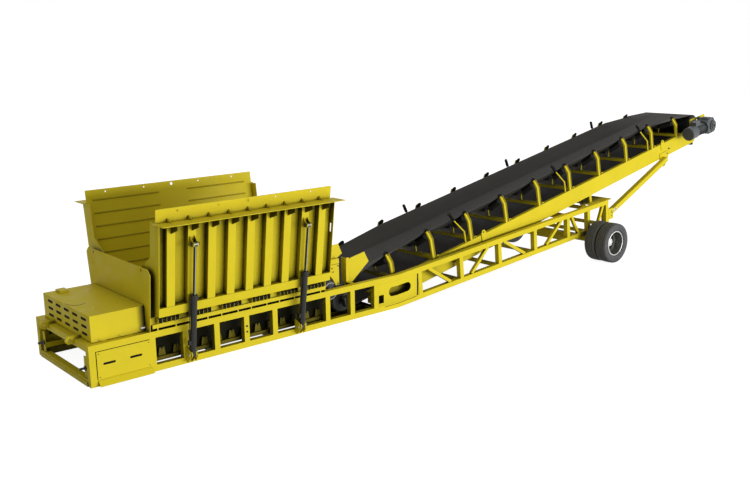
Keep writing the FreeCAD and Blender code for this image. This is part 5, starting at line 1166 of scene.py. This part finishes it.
# %% Dust seals, shaft ends and eyes
BRACKET_INNER, BRACKET_OUTER = ((0.660, 0.346), (0.593, 0.489)), ((0.698, 0.360), (0.615, 0.507))
SEAL_FROM_TIP, SHAFT_FROM_TIP = 0.012, 0.026
EDGE_DROPS = {0: 0.060, STATION_COUNT - 1: 0.096}
ROLLER_SEAL = ((0, 0), (0.064, 0), (0.064, 0.006), (0.045, 0.010), (0, 0.010))
SHAFT_END = ((0.018, 0), (0.018, 0.003), (0.012, 0.006), (0, 0.006))
EYE_RING = ((0.017, 0), (0.029, 0), (0.029, 0.009), (0.017, 0.009), (0.017, 0))
EYE_HOLE = ((0.0168, 0.001), (0.0168, 0.006), (0, 0.006))


def bracket_face(along, sign, drop, corners, from_tip, way):
    """A frame on a bracket's upper face, near its tip, with Z out of the face."""
    (foot_out, foot_up), (tip_out, tip_up) = corners
    slope = Vector((tip_out - foot_out, tip_up - foot_up)).normalized()
    across, above = tip_out - slope.x * from_tip, tip_up - slope.y * from_tip - drop
    normal = Vector((0, sign * way * slope.y, 0)) - way * slope.x * UP_FROM_BELT
    return frame_at(on_belt(along, sign * across, above), normal)


seals, shafts, eyes = bmesh.new(), bmesh.new(), bmesh.new()
for index, along in enumerate(STATIONS):
    drop = EDGE_DROPS.get(index, 0.0)
    for sign in SIDES.values():
        add_lathe(seals, bracket_face(along, sign, drop, BRACKET_INNER, SEAL_FROM_TIP, -1), ROLLER_SEAL, 28)
        add_lathe(shafts, bracket_face(along, sign, drop, BRACKET_OUTER, SHAFT_FROM_TIP, 1), SHAFT_END, 16)
        eye = frame_at(on_belt(along + 0.078, sign * (STRINGER_OUT - 0.008), 0.018), (0, sign, 0))
        add_lathe(eyes, eye, EYE_RING, 24)
        add_lathe(shafts, eye, EYE_HOLE, 16)
# Painted shade, with real parts: the wide black seals, the dark shaft ends and the black discs in the eyes.
make_piece("roller_seals", seals, seal_and_shade_rubber)
make_piece("roller_shafts", shafts, seal_and_shade_rubber)
make_piece("bracket_eyes", eyes, yellow_paint)

# %% [markdown]
# ## Guide roller sleeves
# Where a guide roller may rub the belt's edge it wears a black rubber sleeve with rounded ends, on the
# bare core that comes packed.

# %% Guide sleeves
GUIDE_STATIONS, SLEEVE_RADIUS = (2, 5, 8), 0.0285
SLEEVE_LOW, SLEEVE_HIGH = (-0.308, 0.612, 0.462), (-0.374, 0.580, 0.612)
shape = bmesh.new()
for index in GUIDE_STATIONS:
    for sign in SIDES.values():
        low, high = (on_belt(STATIONS[index] + along, sign * across, above)
                     for along, across, above in (SLEEVE_LOW, SLEEVE_HIGH))
        run = (high - low).length
        add_lathe(shape, frame_at(low, high - low),
                  [(0.014, -0.004), (0.024, -0.003), (SLEEVE_RADIUS, 0.003), (SLEEVE_RADIUS, run - 0.003),
                   (0.024, run + 0.003), (0, run + 0.004)], 28)
make_piece("guide_sleeves", shape, seal_and_shade_rubber)

# %% [markdown]
# ## Transfer point
# Between the hopper and the skirts, a bolted sheet guards each end of the feeder's head drum, under a
# folded cap, with a rubber edge behind it and a folded post beside it. Below it the drum's drive housing
# shows its machined rings. The sheets are flat outlines pushed out to their thickness, and the housing is
# one turned section. A shallow tray between the side frames catches what spills at the belt's tail.

# %% Transfer guards, drive housings and spill tray
GUARD_OUT, GUARD_SHEET, CAP_IN, CAP_DEPTH, RUBBER_EDGE = 0.690, 0.006, 0.055, 0.066, 0.004
GUARD = ((4.020, 0.898), (4.020, 0.735), (4.080, 0.665), (4.135, 0.560), (4.205, 0.560), (4.205, 0.898))
GUARD_CAP = ((4.020, 0.905), (4.206, 0.905), (4.206, 0.925), (4.200, 0.985), (4.020, 0.985))
GUARD_EDGE = ((4.205, 0.560), (4.240, 0.560), (4.240, 0.900), (4.205, 0.900))
GUARD_BOLTS, GUARD_BOLT_SIZE = ((4.066, 0.840), (4.083, 0.784), (4.182, 0.586), (4.182, 0.870)), 0.018
DRUM_AXIS, HOUSING_OUT = (4.045, 0.478), 0.652
HOUSING = ((0.150, 0), (0.150, 0.018), (0.130, 0.026), (0.100, 0.028), (0.100, 0.040), (0.060, 0.044),
           (0.060, 0.058), (0, 0.058))
OUTER_RING = ((0.128, 0.0266), (0.134, 0.0265), (0.134, 0.030), (0.128, 0.030), (0.128, 0.0266))
INNER_RING = ((0.062, 0.044), (0.072, 0.043), (0.072, 0.049), (0.062, 0.049), (0.062, 0.044))
POST_LOW, POST_HIGH, POST_WALL = 0.565, 0.962, 0.008
POST_START, POST_END, POST_IN, POST_OUT = 4.353, 4.412, 0.572, 0.690
POST = ((POST_START, POST_IN), (POST_START, POST_OUT), (POST_END, POST_OUT), (POST_END, POST_OUT - POST_WALL),
        (POST_START + POST_WALL, POST_OUT - POST_WALL), (POST_START + POST_WALL, POST_IN))
POST_FOOT = ((POST_START, 0.640), (POST_START, 0.800), (POST_END, 0.800), (POST_END, 0.640))
guards, edge, bolts, housings, rings = (bmesh.new() for _ in range(5))
for sign in SIDES.values():
    add_prism(guards, side_frame(sign, sign * GUARD_OUT), GUARD, GUARD_SHEET)
    add_prism(guards, side_frame(sign, sign * (GUARD_OUT - CAP_IN)), GUARD_CAP, CAP_DEPTH)
    add_prism(edge, side_frame(sign, sign * (GUARD_OUT - RUBBER_EDGE)), GUARD_EDGE, RUBBER_EDGE)
    for x, z in GUARD_BOLTS:
        add_bolt(bolts, (x, sign * (GUARD_OUT + GUARD_SHEET), z), (0, sign, 0), GUARD_BOLT_SIZE)
    housing = frame_at((DRUM_AXIS[0], sign * HOUSING_OUT, DRUM_AXIS[1]), (0, sign, 0))
    add_lathe(housings, housing, HOUSING, 56)
    add_lathe(rings, housing, OUTER_RING, 64)
    add_lathe(rings, housing, INNER_RING, 48)
    post = Matrix.Translation((0, 0, POST_LOW)) @ Matrix.Diagonal((1, sign, 1, 1))
    add_prism(guards, post, POST, POST_HIGH - POST_LOW)
    add_prism(guards, post, POST_FOOT, GUARD_SHEET)
make_piece("transfer_guards", guards, yellow_paint)
make_piece("guard_edges", edge, seal_and_shade_rubber)

TRAY_START, TRAY_END, TRAY_HALF, TRAY_LEVEL, TRAY_LIP, TRAY_SHEET = 3.600, 4.860, 0.786, 0.030, 0.070, 0.003
TRAY = ((TRAY_START, 0), (TRAY_END, 0), (TRAY_END, TRAY_LIP), (TRAY_END - TRAY_SHEET, TRAY_LIP),
        (TRAY_END - TRAY_SHEET, TRAY_SHEET), (TRAY_START, TRAY_SHEET))
TRAY_BAR = ((TRAY_START, TRAY_SHEET), (TRAY_END - 0.05, TRAY_SHEET), (TRAY_END - 0.09, 0.055),
            (TRAY_START, 0.055))
BAR_PLACES, BAR_HALF = (-0.55, -0.18, 0.18, 0.55), 0.030
shape = bmesh.new()
add_prism(shape, side_frame(-1, TRAY_HALF, level=TRAY_LEVEL), TRAY, 2 * TRAY_HALF)
for across in BAR_PLACES:
    add_prism(shape, side_frame(-1, across + BAR_HALF, level=TRAY_LEVEL), TRAY_BAR, 2 * BAR_HALF)
# Painted shade: the tray takes the darker yellow for the shade it lies in under the belt.
make_piece("spill_tray", shape, shaded_yellow)
make_piece("guard_bolts", bolts, dark_steel)
make_piece("drive_housings", housings, dark_steel)
make_piece("housing_rings", rings, hub_white)

# %% [markdown]
# ## Take-up screws
# At the feed end, a threaded rod each side pulls the feeder's tail drum back to tighten its belt. The
# thread is a row of fine ridges, turned in one outline, and the lock nut is the same turning with six
# sides.

# %% Take-up threads and nuts
SCREW_OUT, SCREW_LEVEL, THREAD_FROM, THREAD_TO, THREAD_PITCH = 0.700, 0.224, -0.0695, 0.003, 0.004
LOCK_NUT = ((0.016, 0), (0.029, 0), (0.033, 0.003), (0.033, 0.0155), (0.016, 0.0155))
NUT_FROM, CREST, ROOT = 0.0035, 0.0162, 0.0144
thread = [(0, -0.0004), (0.0142, 0)]
for ridge in range(int((THREAD_TO - THREAD_FROM) / THREAD_PITCH)):
    thread += [(CREST, (ridge + 0.5) * THREAD_PITCH), (ROOT, (ridge + 1) * THREAD_PITCH)]
shape = bmesh.new()
for sign in SIDES.values():
    for x, outline, steps in ((THREAD_FROM, thread, 20), (NUT_FROM, LOCK_NUT, 6)):
        add_lathe(shape, frame_at((x, sign * SCREW_OUT, SCREW_LEVEL), (1, 0, 0)), outline, steps)
make_piece("take_up_screws", shape, dark_steel)

# %% [markdown]
# ## Prop feet and pull switch
# The two props end in plated forks on dark pins, so that they can be taken out for transport. Near the
# head a small green switch box sits on the guard's end.

# %% Forks, pins and switch
PROP_OUT, FORK_SHEET = 0.8125, 0.005
FORK = ((11.272, 0.800), (11.300, 0.786), (11.480, 0.868), (11.462, 0.902), (11.300, 0.832))
FORK_PIN, FORK_BOLTS, FORK_BOLT_SIZE = (11.290, 0.808), ((11.370, 0.838), (11.430, 0.866)), 0.014
PIN_END = ((0.016, 0), (0.016, 0.010), (0.012, 0.013), (0, 0.013))
forks, pins = bmesh.new(), bmesh.new()
for sign in SIDES.values():
    add_prism(forks, side_frame(sign, sign * PROP_OUT), FORK, FORK_SHEET)
    face = sign * (PROP_OUT + FORK_SHEET)
    add_lathe(pins, frame_at((FORK_PIN[0], face, FORK_PIN[1]), (0, sign, 0)), PIN_END, 24)
    for x, z in FORK_BOLTS:
        add_bolt(pins, (x, face, z), (0, sign, 0), FORK_BOLT_SIZE)
make_piece("prop_forks", forks, zinc_plate)
make_piece("prop_pins", pins, dark_steel)

SWITCH_OUT, SWITCH_DEPTH, SWITCH_PLACE, CABLE_OUT, CABLE_RADIUS = 0.776, 0.045, (14.540, 2.520), 0.80, 0.006
CABLE = ((14.52, 2.552), (14.52, 2.566), (14.515, 2.572), (14.49, 2.576))
shape = bmesh.new()
for out, outline, thick in ((SWITCH_OUT, rounded_outline(0.130, 0.076, 0.010), SWITCH_DEPTH),
                            (SWITCH_OUT + SWITCH_DEPTH, rounded_outline(0.104, 0.056, 0.006), 0.006)):
    add_prism(shape, side_frame(-1, -out, *SWITCH_PLACE), outline, thick)
add_tube(shape, [(x, -CABLE_OUT, z) for x, z in CABLE], CABLE_RADIUS, 10)
make_piece("pull_switch", shape, valve_green)

# %% [markdown]
# ## Head drive
# A geared motor hangs on the head pulley's shaft. Its cast case has ribs and bolted covers, the motor body
# has cooling fins along it and a terminal box on top, and the cowl over its fan has a grille. Fins are thin
# boxes set round a circle, all but those under the terminal box; the grille is rings joined by spokes.

# %% Motor fins and grille
GEAR_OUT, GEAR_WIDTH, GEAR_BACK = 0.880, 0.230, 0.215
MOTOR_Y = -(GEAR_OUT + GEAR_WIDTH / 2)
MOTOR_RISE, MOTOR_LENGTH, MOTOR_BODY, COWL_RADIUS, COWL_LENGTH = 0.075, 0.600, 0.118, 0.143, 0.230
FIN_COUNT, FIN_HEIGHT, FIN_THICK, FIN_START, FIN_SUNK, BOX_CLEAR = 30, 0.016, 0.0035, 0.03, 0.002, 0.55
COWL_LIP = ((COWL_RADIUS, -0.006), (COWL_RADIUS, 0.001), (COWL_RADIUS - 0.006, 0.006),
            (COWL_RADIUS - 0.014, 0.006), (COWL_RADIUS - 0.016, 0.001))
COWL_BAND = ((COWL_RADIUS - 0.001, -0.009), (COWL_RADIUS + 0.003, -0.007), (COWL_RADIUS + 0.003, 0.007),
             (COWL_RADIUS - 0.001, 0.009))
GRILLE_RINGS, GRILLE_WIRE = (0.030, 0.052, 0.074, 0.096, 0.118), 0.006
SPOKE_COUNT, SPOKE_SPAN, SPOKE_LEVEL, SPOKE_RADIUS = 8, (0.02, 0.130), 0.004, 0.0028


def on_motor(back, away=0.0, angle=0.0):
    """A place on the motor: back from the gearbox's face, and away from the motor's axis at an angle."""
    return on_belt(BELT_RUN - GEAR_BACK - back, MOTOR_Y + away * math.cos(angle),
                   MOTOR_RISE + away * math.sin(angle))


shape = bmesh.new()
for angle in around(FIN_COUNT):
    if abs(angle - math.pi / 2) < BOX_CLEAR:
        continue
    lean = FIN_THICK / MOTOR_BODY / 2
    inside, outside = MOTOR_BODY - FIN_SUNK, MOTOR_BODY + FIN_HEIGHT
    corners = ((inside, -lean), (inside, lean), (outside, lean), (outside, -lean))
    add_rings(shape, [[on_motor(back, away, angle + turn) for away, turn in corners]
                      for back in (FIN_START, MOTOR_LENGTH - COWL_LENGTH)])
make_piece("motor_fins", shape, motor_grey, sharp=20)

shape = bmesh.new()
back_face = frame_at(on_motor(MOTOR_LENGTH), -ALONG_BELT)
add_lathe(shape, back_face, COWL_LIP, 64)
for radius in GRILLE_RINGS:
    outer = radius + GRILLE_WIRE
    add_lathe(shape, back_face, [(radius, 0.0), (radius, 0.005), (outer, 0.005), (outer, 0.0)], 56)
for angle in around(SPOKE_COUNT):
    add_tube(shape, [back_face @ polar(radius, angle, SPOKE_LEVEL) for radius in SPOKE_SPAN], SPOKE_RADIUS, 6)
for start in (0.02, COWL_LENGTH - 0.012):
    add_lathe(shape, frame_at(on_motor(MOTOR_LENGTH - start), -ALONG_BELT), COWL_BAND, 64)
make_piece("cowl_grille", shape, case_grey)

# %% [markdown]
# ## Drive bolts
# Four groups of bolts hold the drive together: a circle on the motor's flange, a circle on the hub, a few
# round the case's cover, and four small ones on the terminal box's lid. Circles are loops over angles, and
# the cover's bolts, which follow its uneven outline, are a list.

# %% Drive bolts
PULLEY_RISE, GEAR_FACE = 0.065, -(GEAR_OUT + GEAR_WIDTH)
FLANGE_BOLTS, FLANGE_CIRCLE, FLANGE_BACK, FLANGE_BOLT_SIZE = 8, 0.137, 0.025, 0.019
HUB_BOLTS, HUB_CIRCLE, HUB_RISE, HUB_BOLT_SIZE = 10, 0.094, 0.022, 0.017
BOX_BOLTS, BOX_HALF, BOX_RISE, BOX_BOLT_SIZE, CASE_BOLT_SIZE = (0.215, 0.355), 0.05, 0.215, 0.010, 0.020
CASE_BOLTS = ((-0.175, -0.112), (-0.175, 0.122), (0.070, -0.112), (-0.05, -0.128), (-0.165, 0.0),
              (0.03, 0.150))
shape = bmesh.new()
for angle in around(FLANGE_BOLTS, 0.5):
    add_bolt(shape, on_motor(FLANGE_BACK, FLANGE_CIRCLE, angle), -ALONG_BELT, FLANGE_BOLT_SIZE)
for angle in around(HUB_BOLTS):
    along, above = HUB_CIRCLE * math.cos(angle), HUB_CIRCLE * math.sin(angle)
    spot = on_belt(BELT_RUN + along, GEAR_FACE - HUB_RISE, PULLEY_RISE + above)
    add_bolt(shape, spot, (0, -1, 0), HUB_BOLT_SIZE)
for along, above in CASE_BOLTS:
    spot = on_belt(BELT_RUN + along, GEAR_FACE, PULLEY_RISE + above)
    add_bolt(shape, spot, (0, -1, 0), CASE_BOLT_SIZE)
for y in (MOTOR_Y - BOX_HALF, MOTOR_Y + BOX_HALF):
    for back in BOX_BOLTS:
        spot = on_belt(BELT_RUN - GEAR_BACK - back, y, PULLEY_RISE + BOX_RISE)
        add_bolt(shape, spot, UP_FROM_BELT, BOX_BOLT_SIZE)
make_piece("drive_bolts", shape, dark_steel)

# %% [markdown]
# ## Pulley ends
# Each belt pulley is a steel shell with a welded end disc and a clamping hub round its shaft. The disc is
# set a little into the shell, so the shell's rim stands round it like the rim of a lid.

# %% Pulley end discs
SHELL_RIM = ((0.176, 0), (0.176, 0.006), (0.188, 0.006), (0.188, 0))
CLAMP_HUB = ((0.048, 0), (0.048, 0.010), (0.070, 0.010), (0.078, 0))
PULLEY_HALF = 0.615
shape = bmesh.new()
for along in (0.0, BELT_RUN):
    for sign in SIDES.values():
        ring = frame_at(on_belt(along, sign * PULLEY_HALF, PULLEY_RISE), (0, sign, 0))
        add_lathe(shape, ring, SHELL_RIM, 64)
        add_lathe(shape, ring, CLAMP_HUB, 40)
make_piece("pulley_ends", shape, dark_steel)

# %% [markdown]
# ## Floor and background
# The floor and the sky are white to the camera and to reflections but plain grey to the light, so the
# machine isn't lit from below by a glare. A glow is added to the floor's own lit colour, just enough to
# bring the open floor to white, so the machine's shadow still shows on it.

# %% Floor and sky
SKY_STRENGTH, FLOOR_SHADE, FLOOR_GLOW, FLOOR_HALF, FLOOR_GAP = 0.41, 0.42, 0.92, 60, 0.002
WHITE = (1, 1, 1, 1)


def seen_directly(owner):
    """1 for rays that show the background itself: from the camera, in a reflection or through glass."""
    path = add_node(owner, "LightPath")
    either = arithmetic(owner, "MAXIMUM", path.outputs["Is Camera Ray"], path.outputs["Is Glossy Ray"])
    return arithmetic(owner, "MAXIMUM", either, path.outputs["Is Transmission Ray"])


world = bpy.data.worlds.new("studio")
world.use_nodes = True
bpy.context.scene.world = world
dome = world.node_tree.nodes["Background"]
dome.inputs["Color"].default_value = WHITE
dome.inputs["Strength"].default_value = SKY_STRENGTH
white = add_node(world, "Background", Color=WHITE, Strength=1.0)
mix = add_node(world, "MixShader")
for target, output in zip(mix.inputs, (seen_directly(world), dome.outputs[0], white.outputs[0])):
    join(world, output, target)
join(world, mix.outputs[0], world.node_tree.nodes["World Output"].inputs["Surface"])

floor_mesh = bpy.data.meshes.new("floor")
corners = [(x * FLOOR_HALF, y * FLOOR_HALF, 0) for x, y in ((-1, -1), (1, -1), (1, 1), (-1, 1))]
floor_mesh.from_pydata(corners, [], [(0, 1, 2, 3)])
floor = bpy.data.objects.new("floor", floor_mesh)
floor.location.z = cad_low.z - FLOOR_GAP
bpy.context.scene.collection.objects.link(floor)
floor_paint, shader = new_material("floor_paint")
concrete = noise(floor_paint, 0.8, detail=5)
join(floor_paint, ramp(floor_paint, concrete, [(0.3, FLOOR_SHADE * 0.96), (0.7, FLOOR_SHADE)]),
     shader.inputs["Base Color"])
shader.inputs["Roughness"].default_value = 0.9
glow = add_node(floor_paint, "Emission")
glow_share = arithmetic(floor_paint, "MULTIPLY", seen_directly(floor_paint), FLOOR_GLOW)
join(floor_paint, glow_share, glow.inputs["Strength"])
total = add_node(floor_paint, "AddShader")
for target, output in zip(total.inputs, (shader.outputs[0], glow.outputs[0])):
    join(floor_paint, output, target)
join(floor_paint, total.outputs[0], floor_paint.node_tree.nodes["Material Output"].inputs["Surface"])
floor.data.materials.append(floor_paint)
print("floor at", round(floor.location.z, 3))

# %% [markdown]
# ## Lamp
# One long soft lamp stands low on the near side and lights the steel that faces it, as a bank of studio
# lights would. The sky fills the rest at about two fifths of full white, so tops and ends read darker than
# the sides and the gaps stay deep.

# %% Lamp
LAMP_PLACE, LAMP_AIM, LAMP_SIZE, LAMP_POWER = Vector((12, -25, 1.8)), Vector((7, 0, 1.2)), (26, 3.4), 5350
lamp = bpy.data.objects.new("side_lamp", bpy.data.lights.new("side_lamp", "AREA"))
lamp.data.shape = "RECTANGLE"
lamp.data.size, lamp.data.size_y = LAMP_SIZE
lamp.data.energy = LAMP_POWER
lamp.location = LAMP_PLACE
lamp.rotation_mode = "QUATERNION"
lamp.rotation_quaternion = (LAMP_AIM - LAMP_PLACE).to_track_quat("-Z", "Y")
bpy.context.scene.collection.objects.link(lamp)
print("lamp lit")
